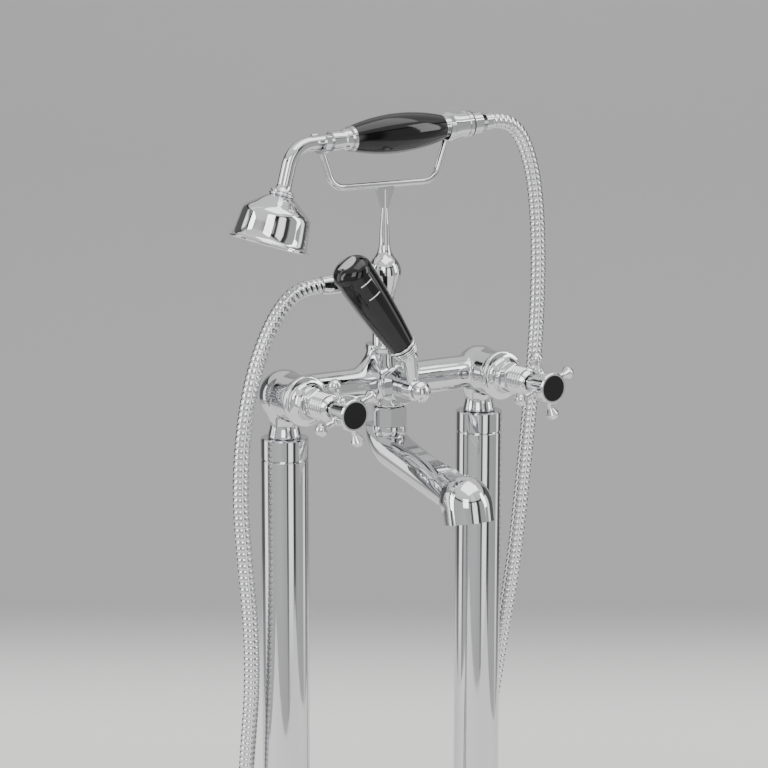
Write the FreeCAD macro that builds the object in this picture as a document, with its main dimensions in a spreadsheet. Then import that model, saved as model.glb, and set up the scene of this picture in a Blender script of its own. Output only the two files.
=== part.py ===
import FreeCAD, Part
import math
import os
import re

import Sketcher

# Floor standing bath filler with a hand shower: two stand pipes carry a cast mixer with two
# crosshead valves, a lever diverter, a downturned spout and a cradle for the hand shower.
# Millimetres. The origin lies on the floor midway between the two legs. +X runs from the hot leg
# to the cold leg, -Y is the side of the spout and the handles, +Z is up.

os.makedirs("parts", exist_ok=True)
doc = FreeCAD.newDocument("bath_filler")
Vector = FreeCAD.Vector

sheet = doc.addObject("Spreadsheet::Sheet", "sizes")
sheet_rows = []
sub_parts = []


# ---------------------------------------------------------------- sizes

driving = {
    # Whole fitting. The standard 180 mm between the inlets sets the scale.
    "leg_spacing": 180, "valve_height": 735,

    # Clearances: slip is left round a part that slides on at assembly, running round a turning
    # spindle, and travel between pieces that move past each other.
    "slip": 0.1, "running": 0.05, "travel": 0.3,

    # Legs
    "shroud_radius": 18, "shroud_wall": 1.2, "collar_drop": 32, "collar_height": 16,
    "collar_spigot": 8,
    "collar_plate": 3, "collar_bore": 14.5, "collar_bevel": 0.8,
    "flange_radius": 36, "flange_thickness": 6, "socket_height": 20, "screw_offset": 19,
    "screw_radius": 2.75,
    "rose_radius": 40, "rose_height": 15, "rose_wall": 1.5, "rose_edge": 4, "rose_crown": 26,
    "pipe_radius": 7.5, "pipe_wall": 1, "lip_radius": 9.3, "lip_thickness": 2,
    "washer_thickness": 2,
    "tail_radius": 9.5, "tail_length": 14, "tail_bore": 6, "nut_half_flat": 12, "nut_lid": 3,
    "nut_grip": 10,

    # Mixer body, heights taken from the axis of the arms
    "arm_radius": 13, "globe_radius": 19, "neck_waist": 10.9, "waist_drop": 23.5, "neck_foot": 13,
    "column_radius": 12.2, "column_drop": 17, "column_shift": 7.2,
    "throat_radius": 13.8, "rim_radius": 14.6, "rim_height": 30,
    "rim_band": 3.5, "horn_length": 18,
    "boss_radius": 17.5, "boss_reach": 26, "valve_bore_depth": 23, "waterway_radius": 6,
    "diverter_boss_radius": 12, "diverter_boss_reach": 18, "diverter_bore_radius": 8.1,
    "spot_face_radius": 14.4,
    "riser_socket_depth": 14, "riser_shank_radius": 7.5, "spout_socket_radius": 8,
    "spout_socket_depth": 8,

    # Valves, measured forward from the axis of the legs
    "cover_rim_radius": 19, "cover_rim": 4.8, "cover_shoulder_radius": 14, "cover_shoulder": 35,
    "cover_nose_radius": 12.6, "cover_nose": 47, "cover_lip": 1.5, "cover_mouth": 9.8,
    "cover_wall": 1.3,
    "cartridge_radius": 9.5, "cartridge_collar": 10.6, "cartridge_collar_length": 8,
    "cartridge_neck": 8, "cartridge_front": 54,
    "bonnet_ring_radius": 10.6, "bonnet_ring": 2.6, "bonnet_step": 2.4, "bonnet_step_depth": 0.8,
    "bonnet_front": 65, "bonnet_nose": 6.6,
    "spindle_radius": 3, "spindle_foot_radius": 5.4, "spindle_foot": 5, "spindle_front": 84,
    "cross_plane": 81.8, "ball_circle": 23.2, "ball_radius": 5, "ball_seat": 3.4, "arm_neck": 2.4,
    "arm_bead": 3.4,
    "hub_back": 66, "hub_back_radius": 5, "hub_plate": 75.5, "hub_plate_radius": 9,
    "hub_waist": 77.5,
    "hub_waist_radius": 7.5, "hub_cup": 79.5, "hub_radius": 10.4, "hub_web": 2,
    "bezel_start": 87.3,
    "bezel_radius": 11.8, "bezel_edge": 0.8, "index_radius": 9.8, "index_front": 93.3,
    "index_thickness": 3.2,
    "hot_phase_angle": 25, "cold_phase_angle": 20,
    "handle_screw_radius": 2, "handle_screw_head": 3.6, "handle_screw_head_length": 2.6,
    "handle_screw_length": 9, "driver_half_flat": 1.5, "driver_depth": 1.8,

    # Diverter and its lever
    "hexagon_half_flat": 12, "hexagon_length": 10, "hexagon_bevel": 1.4,
    "diverter_spindle_radius": 3.5,
    "vane_radius": 7.6, "vane_length": 10, "hub_ring_radius": 8, "lever_plane": 39,
    "hub_ring_front": 44,
    "knee_reach": 25.4, "knee_angle": 8.7, "knee_radius": 6.3, "stalk_foot": 4.2, "grip_angle": 37,
    "ferrule_reach": 13.5, "ferrule_foot": 7.5, "ferrule_radius": 10.8, "ferrule_band": 2.6,
    "lever_root_radius": 10.2, "lever_head_radius": 15.2, "lever_head": 70, "lever_flare": 640,
    "lever_length": 81, "lever_round": 9.5,
    "lever_cap_radius": 7.8, "lever_cap_depth": 2.6, "lever_core_radius": 3,
    "lever_core_length": 40,
    "finial_radius": 8, "finial_neck": 5, "finial_waist": 1.6, "finial_belt": 5.8,
    "finial_length": 10.5,
    "finial_round": 4.7,

    # Spout
    "spout_nut_half_flat": 12.5, "spout_nut_height": 15, "spout_nut_bevel": 1.6,
    "bead_radius": 12.9, "bead_height": 9.5, "bead_foot": 10.8, "bead_round": 12,
    "heel_shift": 2, "heel_radius": 15.5, "spout_bend_radius": 18, "spout_fall_angle": 14.5,
    "spout_run": 91,
    "spout_end_radius": 14, "spine_start": 8.4, "spine_drop": 8, "spine_end": 11.6,
    "flute_radius": 14, "flute_across": 15.8, "flute_up": 18.9, "flute_sweep": 130,
    "flute_place": 30,
    "outlet_radius": 18.8, "outlet_bend_radius": 5.5, "outlet_tilt_angle": 11, "outlet_skirt": 11,
    "outlet_wall": 2, "mouth_depth": 12, "mouth_clear": 6,

    # Riser and cradle, heights taken from the axis of the arms
    "riser_radius": 9.3, "riser_shoulder": 55, "riser_waist": 7.5, "riser_waist_height": 66,
    "bulb_radius": 12.9, "bulb_height": 83, "bulb_foot_radius": 9.3, "bulb_foot": 72,
    "bulb_neck_radius": 7.6,
    "bulb_neck": 96, "bulb_lower_round": 17, "bulb_upper_round": 17, "post_foot_radius": 4.2,
    "post_foot": 105,
    "post_radius": 3.4, "post_top": 121, "post_stud": 1.8, "post_stud_length": 8,
    "hose_outlet_height": 79, "outlet_boss_radius": 7.2, "outlet_boss_reach": 17,
    "post_length": 29.8, "rod_radius": 2.6, "cradle_half_span": 56.5,
    "rod_corner": 14, "upright_angle": 20, "fork_inner_radius": 8.6, "fork_section": 2.8,
    "fork_width": 4.5,
    "fork_lip": 2, "post_neck": 2.3, "post_neck_rise": 12, "web_drop": 3.8,
    "web_half_width": 7.5, "web_thickness": 4,

    # Hand shower, along its own axis from the middle of the grip
    "handset_rise": 37.2, "handset_tilt_angle": 2.8,
    "grip_start": -29.5, "grip_end": 51.5, "grip_end_radius": 9.7, "grip_bulge_radius": 160,
    "core_radius": 5, "core_bore": 4, "core_start": -44, "core_end": 70,
    "front_ferrule_radius": 9.6, "front_ferrule_rim": 2.5, "front_ferrule_step_radius": 8,
    "front_ferrule_step": -36, "front_ferrule_neck_radius": 6.8, "front_ferrule_neck": -42.5,
    "front_ferrule_ring_radius": 7.3, "front_ferrule_end": -49,
    "neck_radius": 5.5, "neck_bore": 4, "neck_straight": -67,
    "neck_bend_radius": 20, "neck_bend_angle": 72.2, "neck_drop": 15, "neck_socket": 6,
    "saddle_radius": 8.3, "saddle_length": 7.9, "saddle_rim_radius": 10.7, "saddle_end": 61.2,
    "tail_ferrule_radius": 10, "tail_ferrule_waist": 9.4, "tail_ferrule_band": 3,
    "tail_ferrule_end": 77,
    "tail_ring_radius": 9.9, "tail_ring_thickness": 1.3,
    "hose_end": 97.5, "hose_ferrule_radius": 8.4, "hose_ferrule_shoulder": 87,
    "hose_ferrule_nose": 6.6,
    "hose_ferrule_nose_start": 92,

    # Shower rose, along its own axis from the top of its collar
    "rose_collar_radius": 9.6, "rose_collar_length": 5, "rose_collar_groove": 0.8,
    "rose_neck_radius": 10.5, "rose_neck_end": 6.7, "rose_shoulder_radius": 24.4,
    "rose_shoulder": 16.8,
    "rose_skirt_radius": 27.9, "rose_skirt_start": 32,
    "rose_skirt_round": 60,
    "rose_lip_radius": 30.3, "rose_length": 44, "rose_lip": 1.5, "rose_shell": 1.3,
    "rose_ceiling": 11,
    "face_thickness": 2, "face_recess": 1.3, "jet_radius": 1.1, "jet_circle": 7,

    # Hose
    "union_radius": 9, "union_length": 11, "lower_ferrule_end": 57.5, "lower_ferrule_radius": 7.3,
    "lower_ferrule_nose": 6.4, "lower_ferrule_mark": 52, "lower_ferrule_mark_depth": 0.4,
    "hose_radius": 6, "hose_bore": 4.2,
}


def add_row(name, content):
    """One row of the sheet: the size's name, and its cell under the same alias."""
    sheet_rows.append(name)
    row = len(sheet_rows)
    sheet.set(f"A{row}", name)
    sheet.set(f"B{row}", content)
    sheet.setAlias(f"B{row}", name)


def derived(name, formula):
    """A size that follows from the driving ones."""
    add_row(name, "=" + formula)


for name, amount in driving.items():
    add_row(name, str(amount))

derived("collar_top", "valve_height - collar_drop")
derived("collar_foot", "collar_top - collar_height")
derived("shroud_bore", "shroud_radius - shroud_wall")
derived("tail_foot", "collar_top - tail_length")
derived("pipe_top", "tail_foot - washer_thickness")
derived("nut_shelf", "pipe_top - lip_thickness")

derived("knee_x", "-knee_reach * sin(knee_angle * 1 deg)")
derived("knee_z", "knee_reach * cos(knee_angle * 1 deg)")
derived("grip_x", "knee_x - ferrule_reach * sin(grip_angle * 1 deg)")
derived("grip_z", "knee_z + ferrule_reach * cos(grip_angle * 1 deg)")

derived("finial_rise", "finial_length - finial_belt")
derived("finial_crown", "(finial_radius ^ 2 + finial_rise ^ 2) / finial_rise / 2")
derived("cap_rise", "0.2 * lever_cap_depth")
derived("cap_crown", "(lever_cap_radius ^ 2 + cap_rise ^ 2) / cap_rise / 2")

derived("fall_sine", "sin(spout_fall_angle * 1 deg)")
derived("fall_cosine", "cos(spout_fall_angle * 1 deg)")
derived("heel_top", "column_drop + spout_nut_height")
derived("bend_forward", "heel_shift + spout_bend_radius")
derived("elbow_angle", "90 - spout_fall_angle")
derived("elbow_forward", "bend_forward - spout_bend_radius * fall_sine")
derived("elbow_down", "heel_top + spout_bend_radius * fall_cosine")
derived("hood_forward", "elbow_forward + spout_run * fall_cosine")
derived("hood_down", "elbow_down + spout_run * fall_sine")
derived("outlet_axis_forward", "hood_forward - outlet_bend_radius * fall_sine")
derived("outlet_axis_down", "hood_down + outlet_bend_radius * fall_cosine")
derived("outlet_angle", "90 - spout_fall_angle - outlet_tilt_angle")
derived("outlet_chord", "sqrt(outlet_radius ^ 2 - outlet_bend_radius ^ 2)")
derived("mouth_reach", "outlet_skirt + mouth_clear")
derived("mouth_forward", "outlet_axis_forward + mouth_reach * sin(outlet_tilt_angle * 1 deg)")
derived("mouth_down", "outlet_axis_down + mouth_reach * cos(outlet_tilt_angle * 1 deg)")

derived("cradle_height", "post_top + post_length")
derived("web_height", "cradle_height - web_drop")
derived("post_neck_height", "post_top + post_neck_rise")
derived("handset_height", "cradle_height + handset_rise")
derived("tilt_sine", "sin(handset_tilt_angle * 1 deg)")
derived("tilt_cosine", "cos(handset_tilt_angle * 1 deg)")
derived("fork_rise", "cradle_half_span * tilt_sine / tilt_cosine")
derived("fork_height_cold", "handset_height + fork_rise")
derived("fork_height_hot", "handset_height - fork_rise - neck_radius - travel + fork_inner_radius")
derived("upright_sine", "sin(upright_angle * 1 deg)")
derived("upright_cosine", "cos(upright_angle * 1 deg)")
derived("rod_tangent", "rod_corner * tan(45 deg - upright_angle * 0.5 deg)")
for side in ("hot", "cold"):
    derived("fork_foot_" + side, f"fork_height_{side} - fork_inner_radius - fork_section / 2")
    derived("corner_reach_" + side,
            f"cradle_half_span - (fork_foot_{side} - cradle_height) * upright_sine / upright_cosine")
derived("neck_end_x", "neck_straight - neck_bend_radius * sin(neck_bend_angle * 1 deg)")
derived("neck_end_drop", "neck_bend_radius * (1 - cos(neck_bend_angle * 1 deg))")
derived("collar_s", "neck_end_x - neck_drop * cos(neck_bend_angle * 1 deg)")
derived("collar_fall", "neck_end_drop + neck_drop * sin(neck_bend_angle * 1 deg)")
derived("socket_x", "collar_s - neck_socket * cos(neck_bend_angle * 1 deg)")
derived("socket_fall", "collar_fall + neck_socket * sin(neck_bend_angle * 1 deg)")
derived("rose_lean", "90 - neck_bend_angle - handset_tilt_angle")
derived("rose_x", "collar_s * tilt_cosine + collar_fall * tilt_sine")
derived("rose_z", "handset_height + collar_s * tilt_sine - collar_fall * tilt_cosine")

doc.recompute()


def bind(formula):
    """The formula with every size's name led by the sheet's."""
    return re.sub(r"\b([a-z]\w*)\b", r"sizes.\1", formula)


def number(formula):
    """The present value of a formula made of sums of products of sizes."""
    total = 0.0
    for sign, term in re.findall(r"([+-]?)\s*([^+-]+)", str(formula)):
        product = 1.0
        for operator, factor in re.findall(r"([*/]?)\s*([\w.]+)", term):
            amount = getattr(sheet, factor) if factor[0].isalpha() else float(factor)
            product = product / amount if operator == "/" else product * amount
        total += -product if sign == "-" else product
    return total


# ---------------------------------------------------------------- construction helpers

def origin_plane(body, role):
    return [feature for feature in body.Origin.OriginFeatures if feature.Role == role][0]


def new_body(label):
    body = doc.addObject("PartDesign::Body", label)
    body.Label = label
    sub_parts.append(body)
    return body


def place(body, x="0", y="0", z="0", axis=(0, 0, 1), angle="0"):
    """Place a finished sub-part, with its position and turn bound to the sheet."""
    body.Placement = FreeCAD.Placement(Vector(0, 0, 0), FreeCAD.Rotation(Vector(*axis), 30))
    body.setExpression("Placement.Base.x", bind(x))
    body.setExpression("Placement.Base.y", bind(y))
    body.setExpression("Placement.Base.z", bind(z))
    body.setExpression("Placement.Rotation.Angle", bind(angle))


def new_sketch(body, role, name, shift=("0", "0", "0"), axis=(0, 0, 1), angle="0"):
    """A sketch on one of the body's own origin planes, moved off it by the shift."""
    sketch = body.newObject("Sketcher::SketchObject", name)
    sketch.AttachmentSupport = (origin_plane(body, role), [""])
    sketch.MapMode = "FlatFace"
    turn = FreeCAD.Rotation(Vector(*axis), number(angle))
    sketch.AttachmentOffset = FreeCAD.Placement(Vector(*[number(part) for part in shift]), turn)
    for letter, part in zip("xyz", shift):
        sketch.setExpression(f"AttachmentOffset.Base.{letter}", bind(part))
    if angle != "0":
        sketch.setExpression("AttachmentOffset.Rotation.Angle", bind(angle))
    return sketch


def fix(sketch, kind, formula, *elements):
    """A dimension bound to the sheet."""
    index = sketch.addConstraint(Sketcher.Constraint(kind, *elements, number(formula)))
    sketch.setExpression(f"Constraints[{index}]", bind(formula))


def pin_down(sketch, element, end, across, up):
    """Hold one end of an edge at its place from the sketch's origin."""
    for kind, formula, axis in (("DistanceX", across, -2), ("DistanceY", up, -1)):
        if formula == "0":
            sketch.addConstraint(Sketcher.Constraint("PointOnObject", element, end, axis))
        else:
            fix(sketch, kind, formula, -1, 1, element, end)


def arc_between(start, finish, radius, side):
    """The short arc from start to finish that bulges to its left (side 1) or right (side -1)."""
    chord = finish - start
    half = chord.Length / 2
    rise = radius - math.sqrt(max(radius * radius - half * half, 0))
    across = Vector(-chord.y, chord.x, 0).normalize() * side
    return Part.Arc(start, start + chord / 2 + across * rise, finish)


def outline(sketch, *corners, closed=True):
    """A chain of lines and arcs. A corner is (across, up), with a radius and a side added where
    an arc leads on from it: -1 bulges to the right of the way it runs, 1 to the left."""
    spots = [Vector(number(corner[0]), number(corner[1]), 0) for corner in corners]
    first = sketch.GeometryCount
    edges = corners if closed else corners[:-1]
    ends = []
    for index, corner in enumerate(edges):
        start = spots[index]
        finish = spots[(index + 1) % len(spots)]
        if len(corner) == 4:
            sketch.addGeometry(arc_between(start, finish, number(corner[2]), corner[3]))
            ends.append((2, 1) if corner[3] > 0 else (1, 2))
        else:
            sketch.addGeometry(Part.LineSegment(start, finish))
            ends.append((1, 2))
    for index in range(len(edges) if closed else len(edges) - 1):
        following = (index + 1) % len(edges)
        sketch.addConstraint(Sketcher.Constraint(
            "Coincident", first + index, ends[index][1], first + following, ends[following][0]))
    for index, corner in enumerate(edges):
        pin_down(sketch, first + index, ends[index][0], corner[0], corner[1])
        if len(corner) == 4:
            fix(sketch, "Radius", corner[2], first + index)
    if not closed:
        pin_down(sketch, first + len(edges) - 1, ends[-1][1], corners[-1][0], corners[-1][1])


def circle(sketch, radius, across="0", up="0"):
    centre = Vector(number(across), number(up), 0)
    element = sketch.addGeometry(Part.Circle(centre, Vector(0, 0, 1), number(radius)))
    if across == "0" and up == "0":
        sketch.addConstraint(Sketcher.Constraint("Coincident", element, 3, -1, 1))
    else:
        pin_down(sketch, element, 3, across, up)
    fix(sketch, "Radius", radius, element)


def hexagon(sketch, half_flat):
    """A regular hexagon about the origin with a flat on its right."""
    reach = number(half_flat) / math.cos(math.pi / 6)
    spots = [Vector(reach * math.cos(math.radians(60 * turn + 30)),
                    reach * math.sin(math.radians(60 * turn + 30)), 0) for turn in range(6)]
    for turn in range(6):
        sketch.addGeometry(Part.LineSegment(spots[turn - 1], spots[turn]))
    guide = sketch.addGeometry(Part.Circle(Vector(0, 0, 0), Vector(0, 0, 1), number(half_flat)), True)
    sketch.addConstraint(Sketcher.Constraint("Coincident", guide, 3, -1, 1))
    fix(sketch, "Radius", half_flat, guide)
    for turn in range(6):
        sketch.addConstraint(Sketcher.Constraint("Coincident", turn, 2, (turn + 1) % 6, 1))
        sketch.addConstraint(Sketcher.Constraint("Tangent", turn, guide))
    for turn in range(4):
        sketch.addConstraint(Sketcher.Constraint("Equal", turn, turn + 1))
    sketch.addConstraint(Sketcher.Constraint("Vertical", 0))


def revolve(body, sketch, axis="V_Axis", cut=False):
    kind = "PartDesign::Groove" if cut else "PartDesign::Revolution"
    feature = body.newObject(kind, sketch.Name + "_turned")
    feature.Profile = sketch
    feature.ReferenceAxis = (sketch, [axis])
    feature.Angle = 360
    return feature


def extrude(body, sketch, length, cut=False, reverse=False, midplane=False):
    """Pad away from the sketch's plane, or pocket on the same side unless reversed."""
    kind = "PartDesign::Pocket" if cut else "PartDesign::Pad"
    feature = body.newObject(kind, sketch.Name + "_cut" if cut else sketch.Name + "_pad")
    feature.Profile = sketch
    feature.setExpression("Length", bind(length))
    feature.Reversed = (not reverse) if cut else reverse
    feature.Midplane = midplane
    return feature


def polar(body, features, count):
    pattern = body.newObject("PartDesign::PolarPattern", features[0].Name + "_ring")
    pattern.Originals = features
    pattern.Axis = (origin_axis(body, "Z_Axis"), [""])
    pattern.Angle = 360
    pattern.Occurrences = count
    body.Tip = pattern
    return pattern


def mirrored(body, features):
    mirror = body.newObject("PartDesign::Mirrored", features[0].Name + "_mirrored")
    mirror.Originals = features
    mirror.MirrorPlane = (origin_plane(body, "YZ_Plane"), [""])
    body.Tip = mirror
    return mirror


def origin_axis(body, role):
    return [feature for feature in body.Origin.OriginFeatures if feature.Role == role][0]


def new_tube(label, way, radius, bore):
    """A round tube swept along a wire that starts with a straight run."""
    first = way.OrderedEdges[0]
    start = first.Vertexes[0].Point
    sides = []
    for reach in (radius, bore):
        ring = Part.Wire(Part.makeCircle(reach, start, first.Vertexes[-1].Point - start))
        sides.append(way.makePipeShell([ring], True, False))
    tube = doc.addObject("Part::Feature", label)
    tube.Label = label
    tube.Shape = sides[0].cut(sides[1])
    sub_parts.append(tube)
    return tube


def turned(label, *corners):
    """A sub-part turned about its own Z axis from one half outline (radius, height)."""
    body = new_body(label)
    sketch = new_sketch(body, "XZ_Plane", label + "_outline")
    outline(sketch, *corners)
    revolve(body, sketch)
    return body


# ---------------------------------------------------------------- legs

def make_leg(side, centre):
    """One stand pipe: floor flange, rose, supply pipe, union, shroud tube and collar."""
    flange = turned(
        "floor_flange_" + side,
        ("pipe_radius + slip", "0"), ("flange_radius", "0"),
        ("flange_radius", "flange_thickness"),
        ("shroud_bore - slip", "flange_thickness"),
        ("shroud_bore - slip", "flange_thickness + socket_height"),
        ("pipe_radius + slip", "flange_thickness + socket_height"))
    holes = new_sketch(flange, "XY_Plane", f"screw_holes_{side}")
    for across in ("screw_offset", "-screw_offset"):
        for up in ("screw_offset", "-screw_offset"):
            circle(holes, "screw_radius", across, up)
    extrude(flange, holes, "flange_thickness", cut=True)
    place(flange, x=centre)

    rose = turned(
        "floor_rose_" + side,
        ("rose_radius - rose_wall", "0"), ("rose_radius", "0"),
        ("rose_radius", "rose_edge", "rose_crown", -1),
        ("shroud_radius + rose_wall + slip", "rose_height"),
        ("shroud_radius + slip", "rose_height"),
        ("shroud_radius + slip", "rose_height - rose_wall", "rose_crown - rose_wall", 1),
        ("rose_radius - rose_wall", "rose_edge"))
    place(rose, x=centre)

    pipe = turned(
        "supply_pipe_" + side,
        ("pipe_radius - pipe_wall", "0"), ("pipe_radius", "0"),
        ("pipe_radius", "nut_shelf"), ("lip_radius", "nut_shelf"),
        ("lip_radius", "pipe_top"), ("pipe_radius - pipe_wall", "pipe_top"))
    place(pipe, x=centre)

    washer = turned(
        "union_washer_" + side,
        ("pipe_radius - pipe_wall + slip", "pipe_top"), ("lip_radius", "pipe_top"),
        ("lip_radius", "tail_foot"), ("pipe_radius - pipe_wall + slip", "tail_foot"))
    place(washer, x=centre)

    nut = new_body("union_nut_" + side)
    faces = new_sketch(nut, "XY_Plane", f"nut_flats_{side}", ("0", "0", "nut_shelf - nut_lid"))
    hexagon(faces, "nut_half_flat")
    extrude(nut, faces, "nut_lid + lip_thickness + washer_thickness + nut_grip")
    passage = new_sketch(nut, "XY_Plane", f"nut_passage_{side}", ("0", "0", "nut_shelf - nut_lid"))
    circle(passage, "pipe_radius + slip")
    extrude(nut, passage, "nut_lid", cut=True)
    thread = new_sketch(nut, "XY_Plane", f"nut_thread_{side}", ("0", "0", "nut_shelf"))
    circle(thread, "tail_radius + slip")
    extrude(nut, thread, "lip_thickness + washer_thickness + nut_grip", cut=True)
    place(nut, x=centre)

    shroud = turned(
        "shroud_tube_" + side,
        ("shroud_bore", "flange_thickness"), ("shroud_radius", "flange_thickness"),
        ("shroud_radius", "collar_foot - collar_bevel"),
        ("shroud_radius - collar_bevel", "collar_foot"),
        ("shroud_bore", "collar_foot"))
    place(shroud, x=centre)

    collar = turned(
        "shroud_collar_" + side,
        ("collar_bore", "collar_foot - collar_spigot"),
        ("shroud_bore - slip", "collar_foot - collar_spigot"),
        ("shroud_bore - slip", "collar_foot"),
        ("shroud_radius - collar_bevel", "collar_foot"),
        ("shroud_radius", "collar_foot + collar_bevel"),
        ("shroud_radius", "collar_top - collar_bevel"),
        ("shroud_radius - collar_bevel", "collar_top"),
        ("tail_radius + slip", "collar_top"),
        ("tail_radius + slip", "collar_top - collar_plate"),
        ("collar_bore", "collar_top - collar_plate"))
    place(collar, x=centre)


# ---------------------------------------------------------------- mixer body

def make_mixer_body():
    """The casting: column, arms with flared roots, globes with necks and tails, valve bosses."""
    body = new_body("mixer_body")
    arms = new_sketch(body, "YZ_Plane", "arm_section")
    circle(arms, "arm_radius")
    extrude(body, arms, "leg_spacing", midplane=True)

    # Each arm swells upwards into the column's throat through a row of tapering sections.
    for side, sign in (("hot", "-"), ("cold", "")):
        sections = []
        for step in range(5):
            left = 1 - step / 4
            reach = f"{sign}throat_radius * 0.9 {sign or '+'} horn_length * {step / 4}"
            crest = f"{0.98 - 0.69 * left ** 1.8:.3f} * arm_radius"
            lift = f"{left ** 2.6:.3f} * rim_height - {left ** 2.6:.3f} * arm_radius"
            section = new_sketch(body, "YZ_Plane", f"horn_{side}_{step}", ("0", "0", reach))
            horn_section(section, "arm_radius * 0.985", crest, f"{lift} + 0.985 * arm_radius - {crest}")
            sections.append(section)
        horn = body.newObject("PartDesign::AdditiveLoft", "horn_" + side)
        horn.Profile = sections[-1]
        horn.Sections = sections[-2::-1]

    column = new_sketch(body, "XZ_Plane", "column_outline")
    outline(column,
            ("0", "0"), ("throat_radius", "0"),
            ("throat_radius", "rim_height - rim_band"), ("rim_radius", "rim_height - rim_band"),
            ("rim_radius", "rim_height"), ("0", "rim_height"))
    revolve(body, column)

    foot = new_sketch(body, "XY_Plane", "column_foot", ("0", "-column_shift", "-column_drop"))
    circle(foot, "column_radius")
    extrude(body, foot, "column_drop")

    globe = new_sketch(body, "XZ_Plane", "globe_outline", ("-leg_spacing / 2", "0", "0"))
    outline(globe,
            ("0", "-collar_drop - tail_length"), ("tail_radius", "-collar_drop - tail_length"),
            ("tail_radius", "-collar_drop"), ("neck_foot", "-collar_drop"),
            ("neck_waist", "-waist_drop", "waist_drop", 1),
            ("globe_radius * 0.79", "-globe_radius * 0.613", "globe_radius", -1),
            ("globe_radius", "0", "globe_radius", -1),
            ("0", "globe_radius"))
    globe_turned = revolve(body, globe)
    boss = new_sketch(body, "XZ_Plane", "boss_section", ("-leg_spacing / 2", "0", "0"))
    circle(boss, "boss_radius")
    boss_pad = extrude(body, boss, "boss_reach")
    bore = new_sketch(body, "XZ_Plane", "valve_bore",
                      ("-leg_spacing / 2", "0", "boss_reach - valve_bore_depth"))
    circle(bore, "cartridge_radius + slip")
    bore_cut = extrude(body, bore, "valve_bore_depth", cut=True)
    inlet = new_sketch(body, "XY_Plane", "inlet_bore",
                       ("-leg_spacing / 2", "0", "-collar_drop - tail_length"))
    circle(inlet, "tail_bore")
    inlet_cut = extrude(body, inlet, "collar_drop + tail_length", cut=True)
    mirrored(body, [globe_turned, boss_pad, bore_cut, inlet_cut])

    diverter = new_sketch(body, "XZ_Plane", "diverter_boss")
    circle(diverter, "diverter_boss_radius")
    extrude(body, diverter, "diverter_boss_reach")
    cavity = new_sketch(body, "XZ_Plane", "diverter_bore", ("0", "0", "-waterway_radius"))
    circle(cavity, "diverter_bore_radius")
    extrude(body, cavity, "diverter_boss_reach + waterway_radius", cut=True)
    face = new_sketch(body, "XZ_Plane", "diverter_spot_face", ("0", "0", "diverter_boss_reach"))
    circle(face, "spot_face_radius")
    extrude(body, face, "column_shift + column_radius", cut=True)

    waterway = new_sketch(body, "YZ_Plane", "waterway")
    circle(waterway, "waterway_radius")
    extrude(body, waterway, "leg_spacing", cut=True, midplane=True)
    drain = new_sketch(body, "XY_Plane", "foot_bore", ("0", "-column_shift", "-column_drop"))
    circle(drain, "waterway_radius")
    extrude(body, drain, "column_drop", cut=True)
    rise = new_sketch(body, "XY_Plane", "column_bore")
    circle(rise, "waterway_radius")
    extrude(body, rise, "rim_height", cut=True)
    socket = new_sketch(body, "XY_Plane", "riser_socket", ("0", "0", "rim_height - riser_socket_depth"))
    circle(socket, "riser_shank_radius + slip")
    extrude(body, socket, "riser_socket_depth", cut=True)
    seat = new_sketch(body, "XY_Plane", "spout_socket", ("0", "-column_shift", "-column_drop"))
    circle(seat, "spout_socket_radius + slip")
    extrude(body, seat, "spout_socket_depth", cut=True)
    place(body, z="valve_height")


def horn_section(sketch, radius, crest, lift):
    """A half circle below the origin, sides that lean in, and a round crest at the lift."""
    outline(sketch,
            (radius, "0"), (crest, lift, crest, -1),
            ("0", f"{lift} + {crest}", crest, -1),
            ("-" + crest, lift), ("-" + radius, "0", radius, -1),
            ("0", "-" + radius, radius, -1))


# ---------------------------------------------------------------- valves

def place_forward(body, centre="0"):
    """Turn a sub-part's own Z axis to the front, through the axis of the arms."""
    place(body, x=centre, z="valve_height", axis=(1, 0, 0), angle="90")


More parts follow.
